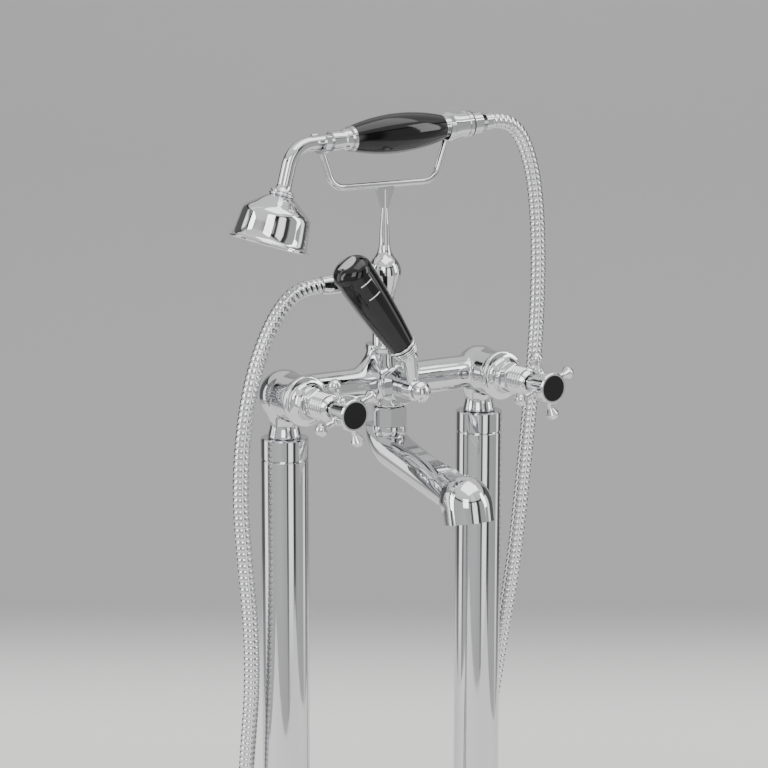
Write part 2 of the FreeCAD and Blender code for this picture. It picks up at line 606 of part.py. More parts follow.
def make_valve(side, centre):
    """One valve: cartridge, cover, bonnet, spindle and four armed handle with its index disc."""
    back = "boss_reach - valve_bore_depth"
    cartridge = turned(
        "valve_cartridge_" + side,
        ("spindle_foot_radius + travel", back), ("cartridge_radius", back),
        ("cartridge_radius", "boss_reach"), ("cartridge_collar", "boss_reach"),
        ("cartridge_collar", "boss_reach + cartridge_collar_length"),
        ("cartridge_neck", "boss_reach + cartridge_collar_length"),
        ("cartridge_neck", "cartridge_front"),
        ("spindle_radius + running", "cartridge_front"),
        ("spindle_radius + running", f"{back} + spindle_foot + travel + travel"),
        ("spindle_foot_radius + travel", f"{back} + spindle_foot + travel + travel"))
    place_forward(cartridge, centre)

    cover = turned(
        "valve_cover_" + side,
        ("cartridge_collar + slip", "boss_reach"), ("cover_rim_radius", "boss_reach"),
        ("cover_rim_radius", "boss_reach + cover_rim"),
        ("cover_shoulder_radius", "cover_shoulder"),
        ("cover_nose_radius", "cover_nose - cover_lip"),
        ("cover_nose_radius - cover_lip * 0.5", "cover_nose"),
        ("cover_mouth", "cover_nose"), ("cover_mouth", "cover_nose - cover_lip"),
        ("cover_nose_radius - cover_wall", "cover_nose - cover_lip"),
        ("cover_shoulder_radius - cover_wall", "cover_shoulder"),
        ("cartridge_collar + slip", "boss_reach + cover_rim"))
    place_forward(cover, centre)

    rings = []
    for step in range(3):
        start = f"cover_nose + {step} * bonnet_ring + {step} * bonnet_step"
        rings.append(("bonnet_ring_radius", start))
        rings.append(("bonnet_ring_radius", start + " + bonnet_ring"))
        rings.append(("bonnet_ring_radius - bonnet_step_depth", start + " + bonnet_ring"))
        if step < 2:
            following = f"cover_nose + {step + 1} * bonnet_ring + {step + 1} * bonnet_step"
            rings.append(("bonnet_ring_radius - bonnet_step_depth", following))
    bonnet = turned(
        "valve_bonnet_" + side,
        ("cartridge_neck + slip", "cover_nose"), *rings,
        ("bonnet_nose", "bonnet_front"), ("spindle_radius + travel", "bonnet_front"),
        ("spindle_radius + travel", "cartridge_front"),
        ("cartridge_neck + slip", "cartridge_front"))
    place_forward(bonnet, centre)

    screw_tip = "spindle_front - handle_screw_length"
    spindle = turned(
        "valve_spindle_" + side,
        ("0", f"{back} + travel"), ("spindle_foot_radius", f"{back} + travel"),
        ("spindle_foot_radius", f"{back} + travel + spindle_foot"),
        ("spindle_radius", f"{back} + travel + spindle_foot"),
        ("spindle_radius", "spindle_front"), ("handle_screw_radius + slip", "spindle_front"),
        ("handle_screw_radius + slip", screw_tip + " - slip"), ("0", screw_tip + " - slip"))
    place_forward(spindle, centre)

    make_crosshead(side, centre)

    recess = "index_front - index_thickness"
    disc = turned(
        "index_disc_" + side,
        ("0", recess), ("index_radius", recess), ("index_radius", "index_front"),
        ("0", "index_front"))
    place_forward(disc, centre)

    screw = new_body("handle_screw_" + side)
    profile = new_sketch(screw, "XZ_Plane", "handle_screw_outline_" + side)
    outline(profile,
            ("0", screw_tip), ("handle_screw_radius", screw_tip),
            ("handle_screw_radius", "spindle_front + hub_web"),
            ("handle_screw_head", "spindle_front + hub_web"),
            ("handle_screw_head", "spindle_front + hub_web + handle_screw_head_length"),
            ("0", "spindle_front + hub_web + handle_screw_head_length"))
    revolve(screw, profile)
    driver = new_sketch(screw, "XY_Plane", "driver_socket_" + side,
                        ("0", "0", "spindle_front + hub_web + handle_screw_head_length - driver_depth"))
    hexagon(driver, "driver_half_flat")
    extrude(screw, driver, "driver_depth", cut=True)
    place_forward(screw, centre)


def make_crosshead(side, centre):
    """Hub with a raised bezel, and four ball ended arms."""
    recess = "index_front - index_thickness"
    web = "spindle_front + hub_web"
    handle = new_body("crosshead_" + side)
    hub = new_sketch(handle, "XZ_Plane", "hub_outline_" + side)
    outline(hub,
            ("spindle_radius + running", "hub_back"), ("hub_back_radius", "hub_back"),
            ("hub_back_radius", "hub_plate - slip"), ("hub_plate_radius", "hub_plate"),
            ("hub_plate_radius", "hub_plate + 0.6 * arm_bead - slip"),
            ("hub_waist_radius", "hub_waist"), ("hub_radius", "hub_cup"),
            ("hub_radius", "bezel_start"), ("bezel_radius", "bezel_start + bezel_edge"),
            ("bezel_radius", "index_front - bezel_edge"),
            ("bezel_radius - bezel_edge", "index_front"), ("index_radius", "index_front"),
            ("index_radius", recess), ("handle_screw_head + travel", recess),
            ("handle_screw_head + travel", web), ("handle_screw_radius + slip", web),
            ("handle_screw_radius + slip", "spindle_front"),
            ("spindle_radius + running", "spindle_front"))
    revolve(handle, hub)
    arm = new_sketch(handle, "XY_Plane", "arm_outline_" + side, ("0", "0", "cross_plane"),
                     angle=side + "_phase_angle")
    bead = "hub_radius + arm_bead"
    seat = "ball_circle - ball_radius * 0.9"
    outline(arm,
            ("0", "hub_radius - hub_web"), ("ball_seat", "hub_radius - hub_web"),
            ("ball_seat", "hub_radius + 0.5 * hub_web"),
            ("arm_neck", "hub_radius + hub_web"), ("arm_neck", bead),
            ("ball_seat - 0.2 * arm_neck", bead), ("arm_neck", bead + " + 0.6 * hub_web"),
            ("arm_neck", seat),
            ("ball_radius", "ball_circle", "ball_radius", -1),
            ("0", "ball_circle + ball_radius"))
    polar(handle, [revolve(handle, arm)], 4)
    place_forward(handle, centre)


# ---------------------------------------------------------------- diverter

def make_diverter():
    """Hexagon bonnet, spindle with its vane, bent stalk, grip with end cap, and finial."""
    bonnet = new_body("diverter_bonnet")
    shank = new_sketch(bonnet, "XY_Plane", "diverter_shank",
                       ("0", "0", "vane_length - waterway_radius + travel"))
    circle(shank, "diverter_bore_radius - slip")
    extrude(bonnet, shank, "diverter_boss_reach + waterway_radius - vane_length")
    flats = new_sketch(bonnet, "XY_Plane", "diverter_flats", ("0", "0", "diverter_boss_reach"))
    hexagon(flats, "hexagon_half_flat")
    extrude(bonnet, flats, "hexagon_length")
    bevel = new_sketch(bonnet, "XZ_Plane", "diverter_bevel")
    front = "diverter_boss_reach + hexagon_length"
    outline(bevel,
            ("hexagon_half_flat", front), ("hexagon_half_flat + 0.2 * hexagon_half_flat",
                                           front + " - hexagon_bevel"),
            ("hexagon_half_flat + 0.2 * hexagon_half_flat", front))
    revolve(bonnet, bevel, cut=True)
    passage = new_sketch(bonnet, "XY_Plane", "diverter_passage", ("0", "0", "-waterway_radius"))
    circle(passage, "diverter_spindle_radius + running")
    extrude(bonnet, passage, "diverter_boss_reach + waterway_radius + hexagon_length", cut=True)
    place_forward(bonnet)

    vane_front = "vane_length - waterway_radius"
    spindle = turned(
        "diverter_spindle",
        ("0", "travel - waterway_radius"), ("vane_radius", "travel - waterway_radius"),
        ("vane_radius", vane_front), ("diverter_spindle_radius", vane_front),
        ("diverter_spindle_radius", "lever_plane"), ("0", "lever_plane"))
    place_forward(spindle)

    stalk = new_body("lever_stalk")
    ring = new_sketch(stalk, "XZ_Plane", "lever_ring")
    ring_back = "diverter_boss_reach + hexagon_length + travel"
    outline(ring,
            ("0", "lever_plane"), ("diverter_spindle_radius", "lever_plane"),
            ("diverter_spindle_radius", ring_back), ("hub_ring_radius", ring_back),
            ("hub_ring_radius", "hub_ring_front - hexagon_bevel"),
            ("hub_ring_radius - hexagon_bevel", "hub_ring_front"), ("0", "hub_ring_front"))
    revolve(stalk, ring)
    lower = new_sketch(stalk, "XY_Plane", "stalk_lower", ("0", "0", "lever_plane"),
                       angle="knee_angle")
    outline(lower,
            ("0", "stalk_foot"), ("stalk_foot", "stalk_foot"),
            ("knee_radius", "knee_reach", "knee_radius", -1),
            ("0", "knee_reach + knee_radius"))
    revolve(stalk, lower)
    upper = new_sketch(stalk, "XY_Plane", "stalk_upper", ("knee_x", "knee_z", "lever_plane"),
                       angle="grip_angle")
    outline(upper,
            ("0", "0"), ("knee_radius * 0.98", "0"),
            ("ferrule_foot", "ferrule_reach - ferrule_band"),
            ("ferrule_radius - 0.5 * ferrule_band", "ferrule_reach - ferrule_band"),
            ("ferrule_radius", "ferrule_reach - 0.7 * ferrule_band"),
            ("ferrule_radius", "ferrule_reach"), ("lever_core_radius", "ferrule_reach"),
            ("lever_core_radius", "ferrule_reach + lever_core_length"),
            ("0", "ferrule_reach + lever_core_length"))
    revolve(stalk, upper)
    place_forward(stalk)

    grip = turned(
        "lever_grip",
        ("lever_core_radius + slip", "0"), ("lever_root_radius", "0", "lever_flare", -1),
        ("lever_head_radius", "lever_head", "lever_round", -1),
        ("lever_cap_radius", "lever_length"),
        ("lever_cap_radius", "lever_length - lever_cap_depth"),
        ("lever_core_radius + slip", "lever_length - lever_cap_depth"))
    cap = turned(
        "lever_cap",
        ("0", "lever_length - lever_cap_depth"),
        ("lever_cap_radius", "lever_length - lever_cap_depth"),
        ("lever_cap_radius", "lever_length", "cap_crown", -1),
        ("0", "lever_length + cap_rise"))
    for body in (grip, cap):
        place(body, x="grip_x", y="-lever_plane", z="valve_height + grip_z",
              axis=(0, -1, 0), angle="grip_angle")

    finial = turned(
        "diverter_finial",
        ("0", "hub_ring_front"), ("finial_neck", "hub_ring_front"),
        ("finial_neck", "hub_ring_front + finial_waist", "finial_round", -1),
        ("finial_radius", "hub_ring_front + finial_belt", "finial_crown", -1),
        ("0", "hub_ring_front + finial_length"))
    place_forward(finial)


# ---------------------------------------------------------------- spout

def spout_sketch(body, name, forward, down, angle):
    """A sketch across the spout: its own axes run across and, before the turn, down."""
    return new_sketch(body, "XY_Plane", name, ("0", "0 - " + forward, "0 - " + down), axis=(1, 0, 0),
                      angle=angle)


def part_turn(body, sketch, angle, cut=False, reverse=False):
    """A sector turned about the sketch's own horizontal axis."""
    feature = revolve(body, sketch, "H_Axis", cut)
    feature.setExpression("Angle", bind(angle))
    feature.Reversed = reverse
    return feature


def make_spout():
    """Round arm with a heel, a fluted spine on top and a hooded outlet that tips forward."""
    body = new_body("spout")
    heel = spout_sketch(body, "spout_heel", "bend_forward", "heel_top", "180")
    circle(heel, "heel_radius", "0", "-spout_bend_radius")
    part_turn(body, heel, "elbow_angle", reverse=True)

    near = spout_sketch(body, "spout_arm_start", "elbow_forward", "elbow_down", "90 + spout_fall_angle")
    circle(near, "heel_radius")
    far = spout_sketch(body, "spout_arm_end", "hood_forward", "hood_down", "90 + spout_fall_angle")
    circle(far, "spout_end_radius")
    arm = body.newObject("PartDesign::AdditiveLoft", "spout_arm")
    arm.Profile = near
    arm.Sections = [far]
    arm.Ruled = True

    # The top is cut back to a narrow flat, and a long flute down each flank gives it a waist.
    top = new_sketch(body, "YZ_Plane", "spout_top")
    outline(top,
            ("-column_shift - spine_start", "-heel_top - spine_drop"),
            ("-column_shift - spine_start", "-heel_top"),
            ("-hood_forward - spout_end_radius", "-heel_top"),
            ("-hood_forward - spout_end_radius", "-hood_down + spine_end * fall_cosine"))
    extrude(body, top, "4 * heel_radius", cut=True, midplane=True)
    flute = new_sketch(body, "XY_Plane", "spout_flute",
                       ("flute_across + flute_sweep",
                        "-elbow_forward - flute_place * fall_cosine",
                        "-elbow_down - flute_place * fall_sine"),
                       axis=(1, 0, 0), angle="90 + spout_fall_angle")
    circle(flute, "flute_radius", "-flute_sweep", "flute_up")
    mirrored(body, [revolve(body, flute, cut=True)])

    # Hood: a round back, a tight bend and a short straight skirt, all of the outlet's radius.
    back = new_sketch(body, "XZ_Plane", "spout_hood_back", ("0", "0", "hood_forward"))
    outline(back,
            ("0", "-hood_down - outlet_radius", "outlet_radius", -1),
            ("outlet_radius", "-hood_down", "outlet_radius", -1),
            ("0", "-hood_down + outlet_radius"))
    revolve(body, back)
    hood = spout_sketch(body, "spout_hood", "outlet_axis_forward", "outlet_axis_down",
                        "90 + spout_fall_angle")
    outline(hood,
            ("-outlet_chord", "0"), ("outlet_chord", "0", "outlet_radius", -1),
            ("outlet_radius", "outlet_bend_radius", "outlet_radius", -1),
            ("0", "outlet_bend_radius + outlet_radius", "outlet_radius", -1),
            ("-outlet_radius", "outlet_bend_radius", "outlet_radius", -1))
    part_turn(body, hood, "outlet_angle")
    skirt = spout_sketch(body, "spout_skirt", "outlet_axis_forward", "outlet_axis_down",
                         "180 - outlet_tilt_angle")
    circle(skirt, "outlet_radius", "0", "outlet_bend_radius")
    extrude(body, skirt, "outlet_skirt")

    # Swivel: a bead that sits on the heel, a bevelled hexagon and the spigot in the mixer.
    bead = new_sketch(body, "XZ_Plane", "spout_bead", ("0", "0", "column_shift"))
    outline(bead,
            ("0", "-heel_top - bead_height"),
            ("bead_foot", "-heel_top - bead_height", "bead_round", -1),
            ("bead_radius", "-heel_top"), ("0", "-heel_top"))
    revolve(body, bead)
    nut = new_sketch(body, "XY_Plane", "spout_nut", ("0", "-column_shift", "-heel_top"), angle="90")
    hexagon(nut, "spout_nut_half_flat")
    extrude(body, nut, "spout_nut_height")
    for end, towards in (("-heel_top", "+"), ("-column_drop", "-")):
        bevel = new_sketch(body, "XZ_Plane", "nut_bevel", ("0", "0", "column_shift"))
        outline(bevel,
                ("spout_nut_half_flat", end), ("1.25 * spout_nut_half_flat", end),
                ("1.25 * spout_nut_half_flat", f"{end} {towards} spout_nut_bevel"))
        revolve(body, bevel, cut=True)
    spigot = new_sketch(body, "XY_Plane", "spout_spigot", ("0", "-column_shift", "-column_drop"))
    circle(spigot, "spout_socket_radius")
    extrude(body, spigot, "spout_socket_depth")

    bend = spout_sketch(body, "spout_bend_bore", "bend_forward", "heel_top", "180")
    circle(bend, "waterway_radius", "0", "-spout_bend_radius")
    part_turn(body, bend, "elbow_angle", cut=True, reverse=True)
    bore = spout_sketch(body, "spout_bore", "elbow_forward", "elbow_down", "90 + spout_fall_angle")
    circle(bore, "waterway_radius")
    extrude(body, bore, "spout_run + waterway_radius", cut=True)
    entry = new_sketch(body, "XY_Plane", "spout_entry",
                       ("0", "-column_shift", "-heel_top - waterway_radius"))
    circle(entry, "waterway_radius")
    extrude(body, entry, "waterway_radius + spout_nut_height + spout_socket_depth", cut=True)
    mouth = spout_sketch(body, "spout_mouth", "mouth_forward", "mouth_down", "180 - outlet_tilt_angle")
    circle(mouth, "outlet_radius - outlet_wall", "0", "outlet_bend_radius")
    extrude(body, mouth, "mouth_clear + mouth_depth", cut=True, reverse=True)
    place(body, z="valve_height")


# ---------------------------------------------------------------- riser and cradle

def make_riser():
    body = new_body("riser")
    profile = new_sketch(body, "XZ_Plane", "riser_outline")
    outline(profile,
            ("0", "rim_height - riser_socket_depth"),
            ("riser_shank_radius", "rim_height - riser_socket_depth"),
            ("riser_shank_radius", "rim_height"), ("riser_radius", "rim_height"),
            ("riser_radius", "riser_shoulder", "bulb_lower_round", 1),
            ("riser_waist", "riser_waist_height"), ("bulb_foot_radius", "bulb_foot"),
            ("bulb_radius", "bulb_height", "bulb_upper_round", -1),
            ("bulb_neck_radius", "bulb_neck", "bulb_lower_round", 1),
            ("post_foot_radius", "post_foot"), ("post_radius", "post_top"),
            ("post_stud + slip", "post_top"),
            ("post_stud + slip", "post_top - post_stud_length - slip"),
            ("0", "post_top - post_stud_length - slip"))
    revolve(body, profile)
    outlet = new_sketch(body, "YZ_Plane", "hose_outlet")
    circle(outlet, "outlet_boss_radius", "0", "hose_outlet_height")
    extrude(body, outlet, "outlet_boss_reach", reverse=True)
    bore = new_sketch(body, "XY_Plane", "riser_bore", ("0", "0", "rim_height - riser_socket_depth"))
    circle(bore, "hose_bore")
    extrude(body, bore, "hose_outlet_height - rim_height + riser_socket_depth", cut=True)
    cross = new_sketch(body, "YZ_Plane", "outlet_bore")
    circle(cross, "hose_bore", "0", "hose_outlet_height")
    extrude(body, cross, "outlet_boss_reach", cut=True, reverse=True)
    place(body, z="valve_height")


def make_cradle():
    """Post, web and bent rod that end in two forks for the hand shower."""
    body = new_body("cradle")
    post = new_sketch(body, "XZ_Plane", "cradle_post")
    outline(post,
            ("0", "post_top - post_stud_length"), ("post_stud", "post_top - post_stud_length"),
            ("post_stud", "post_top"), ("post_radius", "post_top"),
            ("post_neck", "post_neck_height"), ("post_neck", "web_height"), ("0", "web_height"))
    revolve(body, post)
    web = new_sketch(body, "XZ_Plane", "cradle_web")
    outline(web,
            ("-post_neck", "post_neck_height"), ("post_neck", "post_neck_height"),
            ("web_half_width", "web_height"), ("web_half_width", "cradle_height"),
            ("-web_half_width", "cradle_height"), ("-web_half_width", "web_height"))
    extrude(body, web, "web_thickness", midplane=True)
    for side, sign in (("hot", "-"), ("cold", "")):
        corner = "corner_reach_" + side
        minus = "+" if sign else "-"
        plus = "-" if sign else "+"
        path = new_sketch(body, "XZ_Plane", "rod_path_" + side)
        foot = "fork_foot_" + side
        outline(path,
                ("0", "cradle_height"),
                (f"{sign}{corner} {minus} rod_tangent", "cradle_height", "rod_corner",
                 1 if sign else -1),
                (f"{sign}{corner} {plus} rod_tangent * upright_sine",
                 "cradle_height + rod_tangent * upright_cosine"),
                (f"{sign}cradle_half_span", foot), closed=False)
        section = new_sketch(body, "YZ_Plane", "rod_section_" + side)
        circle(section, "rod_radius", "0", "cradle_height")
        rod = body.newObject("PartDesign::AdditivePipe", "rod_" + side)
        rod.Profile = section
        rod.Spine = path
        height = "fork_height_" + side
        outer = "fork_inner_radius + fork_section"
        inner = "fork_inner_radius"
        shift = f"{sign}cradle_half_span - 0.5 * fork_width"
        fork = new_sketch(body, "YZ_Plane", "fork_" + side, ("0", height, shift))
        outline(fork,
                ("-" + outer.replace("+", "-"), "fork_lip"),
                ("-" + outer.replace("+", "-"), "0", outer, -1),
                ("0", "-" + outer.replace("+", "-"), outer, -1), (outer, "0"),
                (outer, "fork_lip", "fork_section * 0.55", -1), (inner, "fork_lip"),
                (inner, "0", inner, 1), ("0", "-" + inner, inner, 1),
                ("-" + inner, "0"), ("-" + inner, "fork_lip", "fork_section * 0.55", -1))
        extrude(body, fork, "fork_width")
    place(body, z="valve_height")


# ---------------------------------------------------------------- hand shower

def place_on_handset(body):
    """Turn a sub-part's own Z axis along the hand shower, and its X axis down."""
    place(body, z="valve_height + handset_height", axis=(0, 1, 0),
          angle="90 - handset_tilt_angle")


def make_handset():
    grip = turned(
        "handset_grip",
        ("core_radius + slip", "grip_start"),
        ("grip_end_radius", "grip_start", "grip_bulge_radius", -1),
        ("grip_end_radius", "grip_end"), ("core_radius + slip", "grip_end"))
    core = turned(
        "handset_core",
        ("core_bore", "core_start"), ("core_radius", "core_start"),
        ("core_radius", "core_end"), ("core_bore", "core_end"))
    ferrule = turned(
        "handset_front_ferrule",
        ("neck_radius + slip", "front_ferrule_end"),
        ("front_ferrule_ring_radius", "front_ferrule_end"),
        ("front_ferrule_ring_radius", "front_ferrule_neck"),
        ("front_ferrule_neck_radius", "front_ferrule_neck"),
        ("front_ferrule_neck_radius", "front_ferrule_step - front_ferrule_rim"),
        ("front_ferrule_ring_radius", "front_ferrule_step - 0.5 * front_ferrule_rim"),
        ("front_ferrule_step_radius", "front_ferrule_step"),
        ("front_ferrule_step_radius", "grip_start - front_ferrule_rim"),
        ("front_ferrule_radius", "grip_start - front_ferrule_rim"),
        ("front_ferrule_radius", "grip_start"), ("core_radius + slip", "grip_start"),
        ("core_radius + slip", "core_start"), ("neck_radius + slip", "core_start"))
    saddle = turned(
        "handset_saddle",
        ("core_radius + slip", "grip_end"), ("saddle_radius", "grip_end"),
        ("saddle_radius", "grip_end + saddle_length"),
        ("saddle_rim_radius", "grip_end + saddle_length"),
        ("saddle_rim_radius", "saddle_end"), ("core_radius + slip", "saddle_end"))
    tail = turned(
        "handset_tail_ferrule",
        ("core_radius + slip", "saddle_end"), ("tail_ferrule_radius", "saddle_end"),
        ("tail_ferrule_radius", "saddle_end + tail_ferrule_band"),
        ("tail_ferrule_waist", "saddle_end + tail_ferrule_band"),
        ("tail_ferrule_waist", "tail_ferrule_end - tail_ferrule_band"),
        ("tail_ferrule_radius", "tail_ferrule_end - tail_ferrule_band"),
        ("tail_ferrule_radius", "tail_ferrule_end"), ("core_bore", "tail_ferrule_end"),
        ("core_bore", "core_end"), ("core_radius + slip", "core_end"))
    ring = turned(
        "hose_washer",
        ("core_bore", "tail_ferrule_end"), ("tail_ring_radius", "tail_ferrule_end"),
        ("tail_ring_radius", "tail_ferrule_end + tail_ring_thickness"),
        ("core_bore", "tail_ferrule_end + tail_ring_thickness"))
    hose_ferrule = turned(
        "hose_upper_ferrule",
        ("hose_bore", "tail_ferrule_end + tail_ring_thickness"),
        ("hose_ferrule_radius", "tail_ferrule_end + tail_ring_thickness"),
        ("hose_ferrule_radius", "hose_ferrule_shoulder"),
        ("hose_ferrule_nose", "hose_ferrule_nose_start"),
        ("hose_ferrule_nose", "hose_end"), ("hose_bore", "hose_end"))
    for body in (grip, core, ferrule, saddle, tail, ring, hose_ferrule):
        place_on_handset(body)

    bend_start = Vector(0, 0, sheet.neck_straight)
    bend_end = Vector(sheet.neck_end_drop, 0, sheet.neck_end_x)
    half_bend = math.radians(sheet.neck_bend_angle) / 2
    bend_middle = Vector(sheet.neck_bend_radius * (1 - math.cos(half_bend)), 0,
                         sheet.neck_straight - sheet.neck_bend_radius * math.sin(half_bend))
    way = Part.Wire([
        Part.LineSegment(Vector(0, 0, sheet.core_start), bend_start).toShape(),
        Part.Arc(bend_start, bend_middle, bend_end).toShape(),
        Part.LineSegment(bend_end, Vector(sheet.socket_fall, 0, sheet.socket_x)).toShape()])
    neck = new_tube("handset_neck", way, sheet.neck_radius, sheet.neck_bore)
    place_on_handset(neck)


def make_rose():
    """Bell of the hand shower with its recessed spray face."""
    grooves = []
    for band in range(2):
        start = f"{band} * rose_collar_length * 0.5"
        grooves.append(("rose_collar_radius", start))
        grooves.append(("rose_collar_radius", start + " + rose_collar_length * 0.3"))
        grooves.append(("rose_collar_radius - rose_collar_groove",
                        start + " + rose_collar_length * 0.3"))
        grooves.append(("rose_collar_radius - rose_collar_groove",
                        f"{band + 1} * rose_collar_length * 0.5"))
    seat = "rose_length - face_recess - face_thickness"
    bell = turned(
        "rose_bell",
        ("neck_radius + slip", "0"), *grooves,
        ("rose_neck_radius", "rose_neck_end"),
        ("rose_shoulder_radius", "rose_shoulder", "rose_skirt_round", -1),
        ("rose_skirt_radius", "rose_skirt_start"),
        ("rose_skirt_radius", "rose_length - rose_lip - rose_lip"),
        ("rose_lip_radius", "rose_length - rose_lip"), ("rose_lip_radius", "rose_length"),
        ("rose_skirt_radius - rose_shell", "rose_length"),
        ("rose_skirt_radius - rose_shell", seat),
        ("rose_skirt_radius - rose_shell - rose_shell", seat),
        ("rose_skirt_radius - rose_shell - rose_shell", "rose_skirt_start"),
        ("rose_shoulder_radius - rose_shell - rose_shell", "rose_shoulder + rose_shell"),
        ("neck_bore", "rose_ceiling"), ("neck_bore", "neck_socket"),
        ("neck_radius + slip", "neck_socket"))
    face = new_body("spray_face")
    disc = new_sketch(face, "XY_Plane", "face_disc", ("0", "0", seat))
    circle(disc, "rose_skirt_radius - rose_shell - slip")
    extrude(face, disc, "face_thickness")
    centre = new_sketch(face, "XY_Plane", "jet_centre", ("0", "0", seat))
    circle(centre, "jet_radius")
    extrude(face, centre, "face_thickness", cut=True)
    for ring in range(1, 4):
        jets = new_sketch(face, "XY_Plane", f"jets_{ring}", ("0", "0", seat))
        circle(jets, "jet_radius", f"{ring} * jet_circle", "0")
        polar(face, [extrude(face, jets, "face_thickness", cut=True)], 6 * ring)
    for body in (bell, face):
        place(body, x="rose_x", z="valve_height + rose_z", axis=(0, 1, 0),
              angle="180 + rose_lean")


# ---------------------------------------------------------------- hose

def make_hose_fittings():
    """Union and ferrule on the riser's outlet, along -X."""
    union = turned(
        "hose_union",
        ("hose_bore", "outlet_boss_reach"), ("union_radius", "outlet_boss_reach"),
        ("union_radius", "outlet_boss_reach + union_length"),
        ("hose_bore", "outlet_boss_reach + union_length"))
    mark = "lower_ferrule_mark"
    lower = turned(
        "hose_lower_ferrule",
        ("hose_bore", "outlet_boss_reach + union_length"),
        ("lower_ferrule_radius", "outlet_boss_reach + union_length"),
        ("lower_ferrule_radius", mark + " - 5 * lower_ferrule_mark_depth"),
        ("lower_ferrule_radius - lower_ferrule_mark_depth", mark),
        ("lower_ferrule_radius", mark + " + lower_ferrule_mark_depth"),
        ("lower_ferrule_nose", "lower_ferrule_end"), ("hose_bore", "lower_ferrule_end"))
    for body in (union, lower):
        place(body, z="valve_height + hose_outlet_height", axis=(0, -1, 0), angle="90")


def make_hose():
    """Free length of the hose, from the lower ferrule down in a loop and up to the hand shower.
    Its way is straight runs joined by tangent arcs, the points counted from the arms' axis."""
    end_x = sheet.hose_end * sheet.tilt_cosine
    end_z = sheet.handset_height + sheet.hose_end * sheet.tilt_sine
    points = [
        (-sheet.lower_ferrule_end, 0, sheet.hose_outlet_height),
        (-76, 0, sheet.hose_outlet_height),
        (-94.5, 0, 64), (-109, 0, 39), (-120, 0, 8), (-127, 0, -30), (-129.5, 0, -74),
        (-126, 0, -120), (-121, 0, -168), (-118, 3, -222), (-117, 14, -285),
        (-112, 28, -350), (-104, 38, -415), (-84, 44, -475), (-48, 46, -515),
        (0, 46, -530), (48, 45, -516), (84, 42, -478), (103, 34, -418), (111, 24, -350),
        (114, 13, -280), (118, 4, -215), (125, 0, -165), (132, 0, -112), (138, 0, -55),
        (144, 0, 0), (147, 0, 55), (146.5, 0, 102), (142.5, 0, 141), (135.5, 0, 167),
        (125.5, 0, 184.8),
        (end_x + 14 * sheet.tilt_cosine, 0, end_z + 14 * sheet.tilt_sine), (end_x, 0, end_z)]
    points = [Vector(*point) for point in points]
    edges = []
    radii = []
    length = 0
    here = points[0]
    for before, corner, after in zip(points, points[1:], points[2:]):
        inward = (before - corner).normalize()
        outward = (after - corner).normalize()
        setback = 0.45 * min(before.distanceToPoint(corner), corner.distanceToPoint(after))
        half_turn = (math.pi - inward.getAngle(outward)) / 2
        radius = setback / math.tan(half_turn)
        middle = (inward + outward).normalize() * (radius / math.cos(half_turn) - radius)
        arc = Part.Arc(corner + inward * setback, corner + middle, corner + outward * setback)
        edges.append(Part.LineSegment(here, corner + inward * setback).toShape())
        edges.append(arc.toShape())
        length += here.distanceToPoint(corner + inward * setback) + 2 * half_turn * radius
        here = corner + outward * setback
        radii.append(round(radius, 1))
    edges.append(Part.LineSegment(here, points[-1]).toShape())
    length += here.distanceToPoint(points[-1])
    hose = new_tube("hose", Part.Wire(edges), sheet.hose_radius, sheet.hose_bore)
    place(hose, z="valve_height")
    section = math.pi * (sheet.hose_radius ** 2 - sheet.hose_bore ** 2)
    print(f"hose: bend radii {radii}")
    print(f"hose: length {length:.1f}, volume over section {hose.Shape.Volume / section:.1f}")

# ---------------------------------------------------------------- build and export

make_leg("hot", "-leg_spacing / 2")
make_leg("cold", "leg_spacing / 2")
make_mixer_body()
make_valve("hot", "-leg_spacing / 2")
make_valve("cold", "leg_spacing / 2")
make_diverter()
make_spout()
make_riser()
make_cradle()
make_handset()
make_rose()
make_hose_fittings()
make_hose()

doc.recompute()
failed = [thing.Name for thing in doc.Objects
          if "Invalid" in thing.State or "Error" in thing.State]
if failed:
    raise RuntimeError(f"these did not compute: {failed}")
for body in sub_parts:
    shape = body.Shape
    if shape.isNull() or not shape.isValid():
        raise RuntimeError(f"{body.Label} has no valid shape")
    shape.exportStep(f"parts/{body.Label}.step")
    print(f"{body.Label}: {len(shape.Solids)} solid, {shape.Volume / 1000:.2f} cm3")
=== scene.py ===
import math

import bmesh
import bpy
from mathutils import Matrix, Vector


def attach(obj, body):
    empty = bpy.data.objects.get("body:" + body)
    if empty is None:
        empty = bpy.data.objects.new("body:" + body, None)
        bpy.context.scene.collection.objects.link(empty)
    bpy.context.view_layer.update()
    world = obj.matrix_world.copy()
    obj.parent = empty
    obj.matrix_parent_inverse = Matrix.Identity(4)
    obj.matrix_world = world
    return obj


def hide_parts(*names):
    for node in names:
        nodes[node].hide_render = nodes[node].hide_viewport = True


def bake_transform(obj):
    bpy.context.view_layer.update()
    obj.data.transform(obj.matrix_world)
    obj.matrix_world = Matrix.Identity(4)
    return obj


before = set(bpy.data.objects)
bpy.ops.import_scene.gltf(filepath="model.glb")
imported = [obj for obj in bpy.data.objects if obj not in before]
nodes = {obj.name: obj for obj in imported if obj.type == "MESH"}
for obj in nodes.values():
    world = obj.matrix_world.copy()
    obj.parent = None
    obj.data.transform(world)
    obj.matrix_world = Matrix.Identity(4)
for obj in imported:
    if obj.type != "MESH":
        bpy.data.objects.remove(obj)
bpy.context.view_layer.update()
bpy.ops.object.select_all(action="DESELECT")


# camera at the photograph's place, looking down on the handles from the left

camera = {
    "place": (-1.1442, -1.6466, 1.1241),
    "turn": 34.79,    # degrees to the left of straight ahead
    "fall": 11.03,    # degrees below level
    "roll": 0.11,
    "lens": 126.03,
    "sensor": 36,
    "clipStart": 0.05,
}


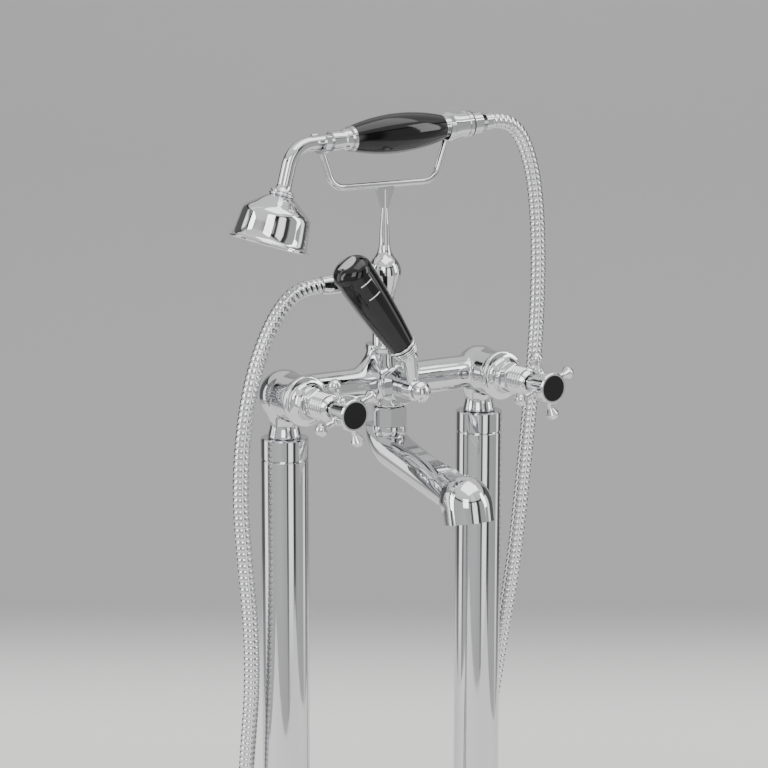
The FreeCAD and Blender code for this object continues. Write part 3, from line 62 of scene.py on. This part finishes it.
def addCamera(numbers):
    turn = math.radians(numbers["turn"])
    fall = math.radians(numbers["fall"])
    right = Vector((math.cos(turn), -math.sin(turn), 0))
    back = Vector((-math.sin(turn) * math.cos(fall), -math.cos(turn) * math.cos(fall), math.sin(fall)))
    up = back.cross(right)
    bpy.ops.object.camera_add(location=numbers["place"])
    shot = bpy.context.object
    facing = Matrix((right, up, back)).transposed()
    facing = facing @ Matrix.Rotation(math.radians(numbers["roll"]), 3, "Z")
    shot.rotation_euler = facing.to_euler()
    shot.data.lens = numbers["lens"]
    shot.data.sensor_width = numbers["sensor"]
    shot.data.clip_start = numbers["clipStart"]
    bpy.context.scene.camera = shot


addCamera(camera)
print("camera placed")


# shader groups that several finishes share

def addGroup(name, inputs, outputs):
    group = bpy.data.node_groups.new(name, "ShaderNodeTree")
    for label, kind, start in inputs:
        socket = group.interface.new_socket(label, in_out="INPUT", socket_type=kind)
        if start is not None:
            socket.default_value = start
    for label, kind in outputs:
        group.interface.new_socket(label, in_out="OUTPUT", socket_type=kind)
    return group, group.nodes.new("NodeGroupInput"), group.nodes.new("NodeGroupOutput")


def addNode(tree, kind, **settings):
    made = tree.nodes.new(kind)
    for name, value in settings.items():
        setattr(made, name, value)
    return made


def addMath(tree, operation, first, second=None, clamp=False):
    made = addNode(tree, "ShaderNodeMath", operation=operation, use_clamp=clamp)
    for index, value in enumerate((first, second)):
        if value is None:
            continue
        if isinstance(value, (int, float)):
            made.inputs[index].default_value = value
        else:
            tree.links.new(value, made.inputs[index])
    return made.outputs[0]


wipes = {
    "cloudDetail": 4,
    "cloudDistortion": 0.6,
    "cloudRange": (0.35, 0.75),    # the noise that stands for the least and most roughness
    "rippleScale": 35,
    "rippleDetail": 1,
    "rippleDepth": 0.0004,
}


def makeSmudges(numbers):
    # faint wiped marks: a slow cloud for roughness and a fine one for the surface's ripple
    tree, start, end = addGroup(
        "wiped marks",
        [("Size", "NodeSocketFloat", 60.0), ("Low", "NodeSocketFloat", 0.03),
         ("High", "NodeSocketFloat", 0.09)],
        [("Roughness", "NodeSocketFloat"), ("Height", "NodeSocketFloat"), ("Mask", "NodeSocketFloat")])
    place = addNode(tree, "ShaderNodeTexCoord")
    cloud = addNode(tree, "ShaderNodeTexNoise")
    cloud.inputs["Detail"].default_value = numbers["cloudDetail"]
    cloud.inputs["Distortion"].default_value = numbers["cloudDistortion"]
    tree.links.new(place.outputs["Object"], cloud.inputs["Vector"])
    tree.links.new(start.outputs["Size"], cloud.inputs["Scale"])
    spread = addNode(tree, "ShaderNodeMapRange")
    spread.inputs["From Min"].default_value, spread.inputs["From Max"].default_value = numbers["cloudRange"]
    tree.links.new(cloud.outputs["Fac"], spread.inputs["Value"])
    tree.links.new(start.outputs["Low"], spread.inputs["To Min"])
    tree.links.new(start.outputs["High"], spread.inputs["To Max"])
    ripple = addNode(tree, "ShaderNodeTexNoise")
    ripple.inputs["Scale"].default_value = numbers["rippleScale"]
    ripple.inputs["Detail"].default_value = numbers["rippleDetail"]
    tree.links.new(place.outputs["Object"], ripple.inputs["Vector"])
    tree.links.new(spread.outputs["Result"], end.inputs["Roughness"])
    tree.links.new(ripple.outputs["Fac"], end.inputs["Height"])
    tree.links.new(cloud.outputs["Fac"], end.inputs["Mask"])
    return tree


smudges = makeSmudges(wipes)


def startMaterial(name):
    finish = bpy.data.materials.new(name)
    finish.use_nodes = True
    tree = finish.node_tree
    return finish, tree, tree.nodes["Principled BSDF"]


def addSmudges(tree, shader, size, low, high):
    marks = addNode(tree, "ShaderNodeGroup", node_tree=smudges)
    marks.inputs["Size"].default_value = size
    marks.inputs["Low"].default_value = low
    marks.inputs["High"].default_value = high
    tree.links.new(marks.outputs["Roughness"], shader.inputs["Roughness"])
    return marks


def addBump(tree, shader, height, strength, distance):
    bump = addNode(tree, "ShaderNodeBump")
    bump.inputs["Strength"].default_value = strength
    bump.inputs["Distance"].default_value = distance
    tree.links.new(height, bump.inputs["Height"])
    tree.links.new(bump.outputs["Normal"], shader.inputs["Normal"])


def makeTint(tree, mask, dark, light):
    tint = addNode(tree, "ShaderNodeMix", data_type="RGBA")
    tint.inputs["A"].default_value = (*dark, 1)
    tint.inputs["B"].default_value = (*light, 1)
    tree.links.new(mask, tint.inputs["Factor"])
    return tint.outputs["Result"]


def makePlate(name, colour, low, high, ripple, markSize=45, dulling=0.96):
    # bright plating over polished or cast brass
    finish, tree, shader = startMaterial(name)
    shader.inputs["Metallic"].default_value = 1
    marks = addSmudges(tree, shader, markSize, low, high)
    dull = tuple(part * dulling for part in colour)
    tree.links.new(makeTint(tree, marks.outputs["Mask"], dull, colour), shader.inputs["Base Color"])
    addBump(tree, shader, marks.outputs["Height"], ripple, wipes["rippleDepth"])
    return finish


glaze = {
    "dark": (0.002, 0.002, 0.0022),
    "light": (0.005, 0.005, 0.0055),
    "markSize": 70,
    "roughness": (0.05, 0.12),
    "specular": 0.36,
    "coat": 0.08,
    "coatRoughness": 0.03,
    "ripple": 0.06,
}


def makeBlackGlaze(name, numbers):
    # deep black glazed ceramic: dark body, hard clear coat, faint orange peel
    finish, tree, shader = startMaterial(name)
    marks = addSmudges(tree, shader, numbers["markSize"], *numbers["roughness"])
    tree.links.new(makeTint(tree, marks.outputs["Mask"], numbers["dark"], numbers["light"]),
                   shader.inputs["Base Color"])
    shader.inputs["Specular IOR Level"].default_value = numbers["specular"]
    shader.inputs["Coat Weight"].default_value = numbers["coat"]
    shader.inputs["Coat Roughness"].default_value = numbers["coatRoughness"]
    addBump(tree, shader, marks.outputs["Height"], numbers["ripple"], wipes["rippleDepth"])
    return finish


def makeGlazeWithPaintedHighlights(name, numbers):
    # the same glaze with two fine white lines across the front of the lever: painted highlights
    finish = makeBlackGlaze(name, glaze)
    tree = finish.node_tree
    shader = tree.nodes["Principled BSDF"]
    place = addNode(tree, "ShaderNodeTexCoord")
    reach = addNode(tree, "ShaderNodeVectorMath", operation="SUBTRACT")
    reach.inputs[1].default_value = numbers["foot"]
    tree.links.new(place.outputs["Object"], reach.inputs[0])

    def measure(direction):
        made = addNode(tree, "ShaderNodeVectorMath", operation="DOT_PRODUCT")
        made.inputs[1].default_value = direction
        tree.links.new(reach.outputs[0], made.inputs[0])
        return made.outputs["Value"]

    along = measure(numbers["along"])
    across = measure(numbers["across"])
    lines = []
    for spot in numbers["lines"]:
        away = addMath(tree, "ABSOLUTE", addMath(tree, "SUBTRACT", along, spot))
        lines.append(addMath(tree, "LESS_THAN", away, numbers["thickness"] / 2))
    off = addMath(tree, "ABSOLUTE", addMath(tree, "SUBTRACT", across, numbers["middle"]))
    inside = addMath(tree, "LESS_THAN", off, numbers["halfLength"])
    front = addMath(tree, "LESS_THAN", measure((0, 1, 0)), 0.0)
    placed = addMath(tree, "MULTIPLY", inside, front)
    mask = addMath(tree, "MULTIPLY", addMath(tree, "MAXIMUM", *lines), placed)
    # mix the white lines, painted highlights, into the glaze's colour
    paintedHighlight = addNode(tree, "ShaderNodeMix", data_type="RGBA")
    before = shader.inputs["Base Color"].links[0].from_socket
    tree.links.new(mask, paintedHighlight.inputs["Factor"])
    tree.links.new(before, paintedHighlight.inputs["A"])
    paintedHighlight.inputs["B"].default_value = (*numbers["ink"], 1)
    tree.links.new(paintedHighlight.outputs["Result"], shader.inputs["Base Color"])
    return finish


rubber = {
    "dark": (0.012, 0.012, 0.012),
    "light": (0.03, 0.03, 0.03),
    "markSize": 300,
    "roughness": (0.5, 0.75),
    "grain": 0.3,
    "grainDepth": 0.0002,
}


def makeRubber(name, numbers):
    finish, tree, shader = startMaterial(name)
    marks = addSmudges(tree, shader, numbers["markSize"], *numbers["roughness"])
    tree.links.new(makeTint(tree, marks.outputs["Mask"], numbers["dark"], numbers["light"]),
                   shader.inputs["Base Color"])
    addBump(tree, shader, marks.outputs["Mask"], numbers["grain"], numbers["grainDepth"])
    return finish


chromePlate = makePlate("chromePlate", (0.61, 0.615, 0.625), low=0.03, high=0.07, ripple=0.05)
brightPlate = makePlate("brightPlate", (0.65, 0.655, 0.665), low=0.02, high=0.05, ripple=0.02)
ringPlate = makePlate("ringPlate", (0.62, 0.625, 0.635), low=0.06, high=0.12, ripple=0.02)
makePlate("turnedBrass", (0.80, 0.60, 0.31), low=0.2, high=0.34, ripple=0.1)
makePlate("plainSteel", (0.56, 0.56, 0.57), low=0.25, high=0.4, ripple=0.1)
makeBlackGlaze("blackGlaze", glaze)
makeRubber("blackRubber", rubber)

# the lever's painted highlight lines: measured from the grip's foot, along the grip and across it
leverPaintedHighlights = {
    "foot": (-0.01197, -0.039, 0.7709),
    "along": (-0.6018, 0, 0.7986),
    "across": (0.7986, 0, 0.6018),
    "lines": (0.0656, 0.0528),
    "thickness": 0.0008,
    "middle": -0.0018,
    "halfLength": 0.0052,
    # the colour of the painted highlight lines
    "ink": (0.75, 0.75, 0.73),
}
makeGlazeWithPaintedHighlights("linedGlaze", leverPaintedHighlights)

# what isn't chrome plated, by the name of the finish
finishes = {
    "turnedBrass": ("floor_flange", "supply_pipe", "union_nut", "valve_cartridge", "valve_spindle",
                    "diverter_spindle", "handset_core"),
    "blackGlaze": ("index_disc", "handset_grip"),
    # the lever's grip takes the glaze with the painted highlight lines
    "linedGlaze": ("lever_grip",),
    "blackRubber": ("union_washer", "hose_washer"),
    "plainSteel": ("handle_screw",),
    "brightPlate": ("crosshead", "lever_stalk", "diverter_finial", "valve_cover", "lever_cap"),
}
for name, obj in nodes.items():
    kind = name.replace("_hot", "").replace("_cold", "")
    chosen = [finish for finish, kinds in finishes.items() if kind in kinds]
    material = bpy.data.materials[chosen[0]] if chosen else chromePlate
    obj.data.materials.clear()
    obj.data.materials.append(material)
print("finishes laid on", len(nodes), "nodes")


# hose: the route's points, counted from the axis of the arms

hose = {
    "armHeight": 0.735,
    "diameter": 0.012,
    "length": 1.5,
    "ringPitch": 0.0046,
    "ringDepth": 0.0007,
    # one interlocked ring: a narrow groove, a steep shoulder and a rounded crown, as (share, depth)
    "ring": ((0.0, 1.0), (0.10, 1.0), (0.20, 0.25), (0.36, 0.05), (0.60, 0.0), (0.80, 0.08), (0.93, 0.4)),
    "sides": 20,
    "routeSteps": 24,
    "route": [
        (-57.5, 0, 79), (-76, 0, 79), (-94.5, 0, 64), (-109, 0, 39), (-120, 0, 8), (-127, 0, -30),
        (-129.5, 0, -74), (-126, 0, -120), (-121, 0, -168), (-118, 3, -222), (-117, 14, -285),
        (-112, 28, -350), (-104, 38, -415), (-84, 44, -475), (-48, 46, -515), (0, 46, -530),
        (48, 45, -516), (84, 42, -478), (103, 34, -418), (111, 24, -350), (114, 13, -280),
        (118, 4, -215), (125, 0, -165), (132, 0, -112), (138, 0, -55), (144, 0, 0), (147, 0, 55),
        (146.5, 0, 102), (142.5, 0, 141), (135.5, 0, 167), (125.5, 0, 184.8), (111.37, 0, 193.45),
        (97.38, 0, 192.76),
    ],
}


def addRoute(numbers):
    points = [Vector((x, y, z)) / 1000 + Vector((0, 0, numbers["armHeight"]))
              for x, y, z in numbers["route"]]
    curve = bpy.data.curves.new("hoseRoute", "CURVE")
    curve.dimensions = "3D"
    spline = curve.splines.new("NURBS")
    spline.points.add(len(points) - 1)
    for spot, point in zip(spline.points, points):
        spot.co = (*point, 1)
    spline.order_u = 3
    spline.use_endpoint_u = True
    spline.resolution_u = numbers["routeSteps"]
    line = bpy.data.objects.new("hoseRoute", curve)
    bpy.context.scene.collection.objects.link(line)
    bpy.context.view_layer.update()
    read = bpy.data.meshes.new_from_object(line.evaluated_get(bpy.context.evaluated_depsgraph_get()))
    path = [vertex.co.copy() for vertex in read.vertices]
    bpy.data.objects.remove(line)
    return path


def walkPath(path, stops):
    # points and directions at the given lengths along the path
    reached = [0.0]
    for before, after in zip(path, path[1:]):
        reached.append(reached[-1] + (after - before).length)
    found = []
    leg = 0
    for stop in stops:
        stop = min(max(stop, 0), reached[-1])
        while leg < len(path) - 2 and reached[leg + 1] < stop:
            leg += 1
        run = reached[leg + 1] - reached[leg]
        share = (stop - reached[leg]) / run if run else 0
        before = (path[leg + 1] - path[max(leg - 1, 0)]).normalized()
        after = (path[min(leg + 2, len(path) - 1)] - path[leg]).normalized()
        found.append((path[leg].lerp(path[leg + 1], share), before.lerp(after, share).normalized()))
    return found, reached[-1]


def addHose(numbers):
    path = addRoute(numbers)
    whole = walkPath(path, [0])[1]
    count = round(whole / numbers["ringPitch"])
    pitch = whole / count
    outer = numbers["diameter"] / 2
    stops = []
    radii = []
    for number in range(count):
        for share, depth in numbers["ring"]:
            stops.append((number + share) * pitch)
            radii.append(outer - depth * numbers["ringDepth"])
    stops.append(whole)
    radii.append(outer - numbers["ringDepth"])
    spots = walkPath(path, stops)[0]
    shell = bmesh.new()
    rows = []
    side = Vector((0, 1, 0))    # carried along the path, so that the tube doesn't twist
    for (centre, ahead), radius in zip(spots, radii):
        side = (side - ahead * side.dot(ahead)).normalized()
        other = ahead.cross(side)
        row = []
        for turn in range(numbers["sides"]):
            angle = 2 * math.pi * turn / numbers["sides"]
            row.append(shell.verts.new(centre + (side * math.cos(angle) + other * math.sin(angle)) * radius))
        rows.append(row)
    for before, after in zip(rows, rows[1:]):
        for turn in range(numbers["sides"]):
            following = (turn + 1) % numbers["sides"]
            shell.faces.new((before[turn], before[following], after[following], after[turn]))
    shell.faces.new(list(reversed(rows[0])))
    shell.faces.new(rows[-1])
    mesh = bpy.data.meshes.new("ringedHose")
    shell.normal_update()
    shell.to_mesh(mesh)
    shell.free()
    mesh.materials.append(ringPlate)
    for face in mesh.polygons:
        face.use_smooth = True
    tube = bpy.data.objects.new("ringedHose", mesh)
    bpy.context.scene.collection.objects.link(tube)
    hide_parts("hose")
    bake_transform(tube)
    print("hose", round(whole, 4), "m with", count, "rings")


addHose(hose)


# turned pieces that have more shape than their solids: each outline is (along the axis, radius) in mm

turning = {
    "mergeWithin": 0.000002,
    "crease": 36,    # degrees
}


def pickOnly(piece):
    bpy.ops.object.select_all(action="DESELECT")
    piece.select_set(True)
    bpy.context.view_layer.objects.active = piece


def copyNode(node, name):
    piece = nodes[node].copy()
    piece.data = nodes[node].data.copy()
    piece.name = name
    bpy.context.scene.collection.objects.link(piece)
    return piece


def addTurned(name, outline, sides=64):
    bpy.ops.object.select_all(action="DESELECT")
    along, radius = outline[0]
    bpy.ops.mesh.primitive_circle_add(vertices=sides, radius=radius / 1000, location=(0, 0, along / 1000))
    bpy.ops.object.transform_apply()
    piece = bpy.context.object
    piece.name = name
    bpy.ops.object.mode_set(mode="EDIT")
    bpy.ops.mesh.select_all(action="SELECT")
    for before, after in zip(outline, outline[1:] + outline[:1]):
        bpy.ops.mesh.extrude_edges_move(
            TRANSFORM_OT_translate={"value": (0, 0, (after[0] - before[0]) / 1000)})
        grow = after[1] / before[1]
        bpy.ops.transform.resize(value=(grow, grow, 1), center_override=(0, 0, after[0] / 1000))
    bpy.ops.mesh.select_all(action="SELECT")
    bpy.ops.mesh.remove_doubles(threshold=turning["mergeWithin"])
    bpy.ops.mesh.normals_make_consistent(inside=False)
    bpy.ops.object.mode_set(mode="OBJECT")
    bpy.ops.object.shade_smooth_by_angle(angle=math.radians(turning["crease"]))
    return piece


def setDown(piece, place, turn, finish, body, node=None):
    pickOnly(piece)
    piece.location = place
    piece.rotation_euler = turn
    bpy.ops.object.transform_apply()
    piece.data.materials.clear()
    piece.data.materials.append(finish)
    if node:
        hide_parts(node)
    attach(piece, body)


def halfRound(start, end, foot, swell, steps=6):
    # the outline of a raised ring
    return [(start + (end - start) * (1 - math.cos(math.pi * step / steps)) / 2,
             foot + swell * math.sin(math.pi * step / steps)) for step in range(steps + 1)]


rose = {
    "top": (-0.08914, 0, 0.89044),    # where the neck enters its collar
    "lean": 18.0,
    "shift": 0.0009,    # the face sits this much further down than its solid
    "solidLean": 15.0,
    "sides": 96,
    "collar": [(0, 5.65), (2.4, 6.0), (3.5, 6.8)],
    "rings": ((3.7, 5.3, 8.6, 1.0), (5.7, 8.1, 8.6, 1.4)),    # start, end, foot and swell
    "shoulder": [(8.5, 10.4), (10.2, 12.9), (12.2, 15.5), (14.4, 18.1), (16.2, 20.4), (17.8, 22.5),
                 (19.0, 23.9), (20.4, 25.0), (22.0, 25.8)],
    "side": [(24.0, 26.2), (30.8, 26.9), (36.6, 27.6), (41.0, 28.1)],
    "lip": [(42.5, 28.6), (43.4, 29.4), (43.8, 30.2), (44.3, 30.4), (44.8, 30.2), (44.9, 29.6),
            (44.9, 28.3), (44.3, 27.5), (42.0, 26.9)],
    "inside": [(40.0, 26.6), (30.0, 25.4), (21.0, 24.4), (17.0, 20.0), (12.0, 12.2), (9.0, 8.0),
               (6.0, 5.65)],
}


def addRose(numbers):
    outline = list(numbers["collar"])
    for ring in numbers["rings"]:
        outline += halfRound(*ring)
    outline += numbers["shoulder"] + numbers["side"] + numbers["lip"] + numbers["inside"]
    bell = addTurned("roseBell", outline, numbers["sides"])
    lean = math.radians(numbers["lean"])
    setDown(bell, numbers["top"], (0, math.pi + lean, 0), brightPlate, "handset", "rose_bell")
    face = copyNode("spray_face", "sprayFace")
    more = Matrix.Rotation(lean - math.radians(numbers["solidLean"]), 4, "Y")
    down = Vector((-math.sin(lean), 0, -math.cos(lean))) * numbers["shift"]
    top = Matrix.Translation(numbers["top"])
    face.data.transform(Matrix.Translation(down) @ top @ more @ Matrix.Translation(-Vector(numbers["top"])))
    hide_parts("spray_face")
    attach(face, "handset")


valve = {
    "centres": {"hot": -0.09, "cold": 0.09},
    "height": 0.735,
    "coverSides": 96,
    "coverBack": [(26, 10.7), (26, 18.1), (26.4, 18.7), (27.1, 19), (29.3, 19), (30.2, 18.8), (30.9, 18.2),
                  (31.2, 17.4)],
    "coverDish": [(31.3, 16.4), (31.7, 15.2), (32.5, 14.0), (33.7, 13.0), (35.4, 12.3), (37.6, 11.95),
                  (40.0, 11.9), (40.4, 11.5), (40.4, 9.9), (30.0, 9.9)],
    "hexagon": [(40.2, 9.9), (40.2, 11.1), (40.9, 12.0), (46.2, 12.0), (46.9, 11.1), (46.9, 9.9)],
    "bonnetBack": 47.0,
    "firstRing": 47.1,
    "rings": 5,
    "ringPitch": 3.0,
    "ringShare": 0.86,    # of the pitch
    "ringFoot": 8.8,
    "ringSwell": 1.7,
    "nose": [(62.6, 9.0), (64.2, 7.2), (65.0, 6.6), (65.0, 3.5), (54.0, 3.5), (54.0, 8.1), (47.0, 8.1)],
}


def addValves(numbers):
    forward = (math.pi / 2, 0, 0)
    for side, centre in numbers["centres"].items():
        place = (centre, 0, numbers["height"])
        cover = addTurned("valveCover." + side, numbers["coverBack"] + numbers["coverDish"],
                          numbers["coverSides"])
        hexagon = addTurned("valveHexagon." + side, numbers["hexagon"], 6)
        cover.select_set(True)
        hexagon.select_set(True)
        bpy.context.view_layer.objects.active = cover
        bpy.ops.object.join()
        setDown(cover, place, forward, brightPlate, "fixture", "valve_cover_" + side)
        outline = [(numbers["bonnetBack"], numbers["ringFoot"])]
        for number in range(numbers["rings"]):
            start = numbers["firstRing"] + number * numbers["ringPitch"]
            outline += halfRound(start, start + numbers["ringShare"] * numbers["ringPitch"],
                                 numbers["ringFoot"], numbers["ringSwell"])
        bonnet = addTurned("valveBonnet." + side, outline + numbers["nose"])
        setDown(bonnet, place, forward, brightPlate, "fixture", "valve_bonnet_" + side)


casting = {
    "mergeWithin": 0.000005,
    "voxel": 0.00115,
    "passes": 22,
    "strength": 0.5,
    "height": 0.735,
    # where the arms run into the throat and the globes: middle, half width and fade, along the arms
    "joints": ((0.0, 0.036, 0.01), (-0.074, 0.006, 0.006), (0.074, 0.006, 0.006)),
    # these edges stay crisp: the rim above the arms, the column's foot and the bosses in front
    "throatTop": 0.022,
    "columnFoot": -0.016,
    "edgeFade": 0.004,
    "bossFront": -0.0175,
    "bossFade": 0.003,
    "leastShare": 0.06,    # of the smoothing, everywhere else
}


def clampShare(value):
    return min(max(value, 0), 1)


def addCasting(numbers):
    # the body as cast and polished: its junctions flow into each other
    body = copyNode("mixer_body", "mixerBody")
    pickOnly(body)
    bpy.ops.object.mode_set(mode="EDIT")
    bpy.ops.mesh.select_all(action="SELECT")
    bpy.ops.mesh.remove_doubles(threshold=numbers["mergeWithin"])
    bpy.ops.object.mode_set(mode="OBJECT")
    grid = body.modifiers.new("grid", "REMESH")
    grid.mode = "VOXEL"
    grid.voxel_size = numbers["voxel"]
    bpy.ops.object.modifier_apply(modifier="grid")
    flow = body.vertex_groups.new(name="flow")
    least = numbers["leastShare"]
    fade = numbers["edgeFade"]
    for vertex in body.data.vertices:
        x, y, z = vertex.co
        above = z - numbers["height"]
        share = least
        for middle, half, ease in numbers["joints"]:
            share = max(share, min(1, 1 - (abs(x - middle) - half) / ease))
        edges = (clampShare((numbers["throatTop"] + fade - above) / fade),
                 clampShare((above - numbers["columnFoot"]) / fade),
                 clampShare((y - numbers["bossFront"]) / numbers["bossFade"]))
        share = min(share, *(least + (1 - least) * edge for edge in edges))
        flow.add([vertex.index], share, "REPLACE")
    smooth = body.modifiers.new("flow", "SMOOTH")
    smooth.factor = numbers["strength"]
    smooth.iterations = numbers["passes"]
    smooth.vertex_group = "flow"
    bpy.ops.object.modifier_apply(modifier="flow")
    bpy.ops.object.shade_smooth()
    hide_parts("mixer_body")
    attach(body, "fixture")
    print("casting smoothed,", len(body.data.polygons), "faces")


ferrule = {
    "foot": (-0.01197, -0.039, 0.7709),    # where the grip starts
    "lean": -37.0,
    # each bead: from, to, and the cone's radius there
    "beads": ((-1.6, 0.3, 10.9), (-4.6, -3.2, 10.0), (-6.6, -5.2, 9.4), (-8.6, -7.2, 8.8)),
    "swell": 0.8,
    "depth": 1.5,    # how far a bead's foot reaches into the ferrule
    "sides": 48,
}


def addFerruleBeads(numbers):
    for number, (start, end, foot) in enumerate(numbers["beads"]):
        inner = foot - numbers["depth"]
        outline = halfRound(start, end, foot, numbers["swell"]) + [(end, inner), (start, inner)]
        bead = addTurned(f"leverBead.{number}", outline, numbers["sides"])
        setDown(bead, numbers["foot"], (0, math.radians(numbers["lean"]), 0), brightPlate, "diverter_lever")


addCasting(casting)
addFerruleBeads(ferrule)
addRose(rose)
addValves(valve)
print("casting, beads, rose and valves made")


# studio: a pale floor that sweeps up into a grey backdrop, soft lamps, and a room for the plating to show

studio = {
    "floorFront": -1.5,
    "floorHalf": 1.5,    # half its width in front, narrowing to the wall's
    "wallHalf": 1.3,
    "wallAt": 1.9,
    "wallHeight": 1.9,
    "sweep": 0.7,
    "sweepSteps": 12,
    "floorColour": (0.82, 0.815, 0.80),
    "wallColour": (0.315, 0.31, 0.315),
    "colourTurns": (0.005, 0.12),    # heights between which the floor's colour becomes the wall's
    "paperRoughness": 0.9,
    # lamps: place, what it looks at, width and height, watts
    "lamps": {
        "windowLeft": ((-2.35, 0.75, 1.25), (0, 0, 0.75), (0.7, 2.0), 26),
        "windowFront": ((-2.1, -2.2, 1.9), (0, 0, 0.75), (1.3, 1.7), 30),
        "windowRight": ((2.1, -1.7, 1.7), (0, 0, 0.7), (0.8, 1.9), 24),
        "ceiling": ((0.2, -0.5, 3.0), (0, 0.1, 0.7), (2.6, 1.8), 36),
    },
    # the room's brightness round the object, by degrees to the right of the camera
    "round": ((-180, 0.30), (-156, 0.26), (-146, 0.16), (-113, 0.14), (-106, 2.3), (-90, 2.3),
              (-87, 0.12), (-81, 0.12), (-76, 0.70), (-20, 0.82), (10, 0.66), (13, 0.10), (18, 0.10),
              (22, 2.2), (40, 2.2), (43, 0.08), (52, 0.08), (58, 0.62), (96, 0.58), (102, 2.0), (109, 2.0),
              (114, 0.14), (146, 0.16), (156, 0.26), (180, 0.30)),
    # and how much of that and of the ceiling or floor shows, by the sine of the height
    "sides": ((-1.0, 0.0), (-0.31, 0.15), (-0.25, 1.0), (0.40, 1.0), (0.44, 0.15), (0.50, 0.12),
              (0.54, 0.2), (1.0, 0.2)),
    "ceiling": ((-1.0, 0.6), (-0.31, 0.6), (-0.25, 0.0), (0.48, 0.0), (0.54, 0.95), (1.0, 1.1)),
}


def addSweep(numbers):
    profile = [(numbers["floorFront"], 0.0), (0.0, 0.0)]
    for step in range(numbers["sweepSteps"] + 1):
        angle = math.pi / 2 * step / numbers["sweepSteps"]
        profile.append((numbers["wallAt"] - numbers["sweep"] * (1 - math.sin(angle)),
                        numbers["sweep"] * (1 - math.cos(angle))))
    profile.append((numbers["wallAt"], numbers["wallHeight"]))
    cloth = bmesh.new()
    rows = []
    for y, z in profile:
        share = min(max(y / (numbers["wallAt"] - numbers["sweep"]), 0), 1)
        half = numbers["floorHalf"] + share * (numbers["wallHalf"] - numbers["floorHalf"])
        rows.append((cloth.verts.new((-half, y, z)), cloth.verts.new((half, y, z))))
    for before, after in zip(rows, rows[1:]):
        cloth.faces.new((before[0], before[1], after[1], after[0]))
    mesh = bpy.data.meshes.new("studioSweep")
    cloth.to_mesh(mesh)
    cloth.free()
    for face in mesh.polygons:
        face.use_smooth = True
    finish, tree, shader = startMaterial("studioPaper")
    place = addNode(tree, "ShaderNodeTexCoord")
    split = addNode(tree, "ShaderNodeSeparateXYZ")
    tree.links.new(place.outputs["Object"], split.inputs["Vector"])
    rise = addNode(tree, "ShaderNodeMapRange", interpolation_type="SMOOTHSTEP")
    rise.inputs["From Min"].default_value, rise.inputs["From Max"].default_value = numbers["colourTurns"]
    tree.links.new(split.outputs["Z"], rise.inputs["Value"])
    tree.links.new(makeTint(tree, rise.outputs["Result"], numbers["floorColour"], numbers["wallColour"]),
                   shader.inputs["Base Color"])
    shader.inputs["Roughness"].default_value = numbers["paperRoughness"]
    mesh.materials.append(finish)
    sweep = bpy.data.objects.new("studioSweep", mesh)
    sweep.rotation_euler = (0, 0, -math.radians(camera["turn"]))
    bpy.context.scene.collection.objects.link(sweep)


def addLamps(numbers):
    for name, (place, aim, size, power) in numbers["lamps"].items():
        bpy.ops.object.light_add(type="AREA", location=place)
        lamp = bpy.context.object
        lamp.name = name
        lamp.data.shape = "RECTANGLE"
        lamp.data.size, lamp.data.size_y = size
        lamp.data.energy = power
        lamp.rotation_euler = (Vector(aim) - Vector(place)).to_track_quat("-Z", "Y").to_euler()


def addRamp(tree, value, stops, first, last):
    ramp = addNode(tree, "ShaderNodeValToRGB")
    while len(ramp.color_ramp.elements) < len(stops):
        ramp.color_ramp.elements.new(0.5)
    for element, (spot, shade) in zip(ramp.color_ramp.elements, stops):
        element.position = (spot - first) / (last - first)
        element.color = (shade, shade, shade, 1)
    fit = addNode(tree, "ShaderNodeMapRange")
    fit.inputs["From Min"].default_value = first
    fit.inputs["From Max"].default_value = last
    tree.links.new(value, fit.inputs["Value"])
    tree.links.new(fit.outputs["Result"], ramp.inputs["Fac"])
    return ramp.outputs["Color"]


def addRoom(numbers):
    world = bpy.data.worlds.new("studioRoom")
    world.use_nodes = True
    bpy.context.scene.world = world
    tree = world.node_tree
    look = addNode(tree, "ShaderNodeTexCoord")
    turn = addNode(tree, "ShaderNodeVectorRotate", rotation_type="Z_AXIS")
    turn.inputs["Angle"].default_value = math.radians(camera["turn"])
    tree.links.new(look.outputs["Generated"], turn.inputs["Vector"])
    split = addNode(tree, "ShaderNodeSeparateXYZ")
    tree.links.new(turn.outputs["Vector"], split.inputs["Vector"])
    # after the turn the camera is towards -Y, with its right hand towards +X
    bearing = addMath(tree, "ARCTAN2", split.outputs["X"], addMath(tree, "MULTIPLY", split.outputs["Y"], -1))
    sides = addRamp(tree, bearing, [(math.radians(spot), shade) for spot, shade in numbers["round"]],
                    -math.pi, math.pi)
    share = addRamp(tree, split.outputs["Z"], numbers["sides"], -1, 1)
    above = addRamp(tree, split.outputs["Z"], numbers["ceiling"], -1, 1)
    shown = addMath(tree, "MULTIPLY", sides, share)
    total = addMath(tree, "ADD", shown, above)
    tree.links.new(total, tree.nodes["Background"].inputs["Color"])
    tree.nodes["Background"].inputs["Strength"].default_value = 1.0


addSweep(studio)
addLamps(studio)
addRoom(studio)
print("studio lit")
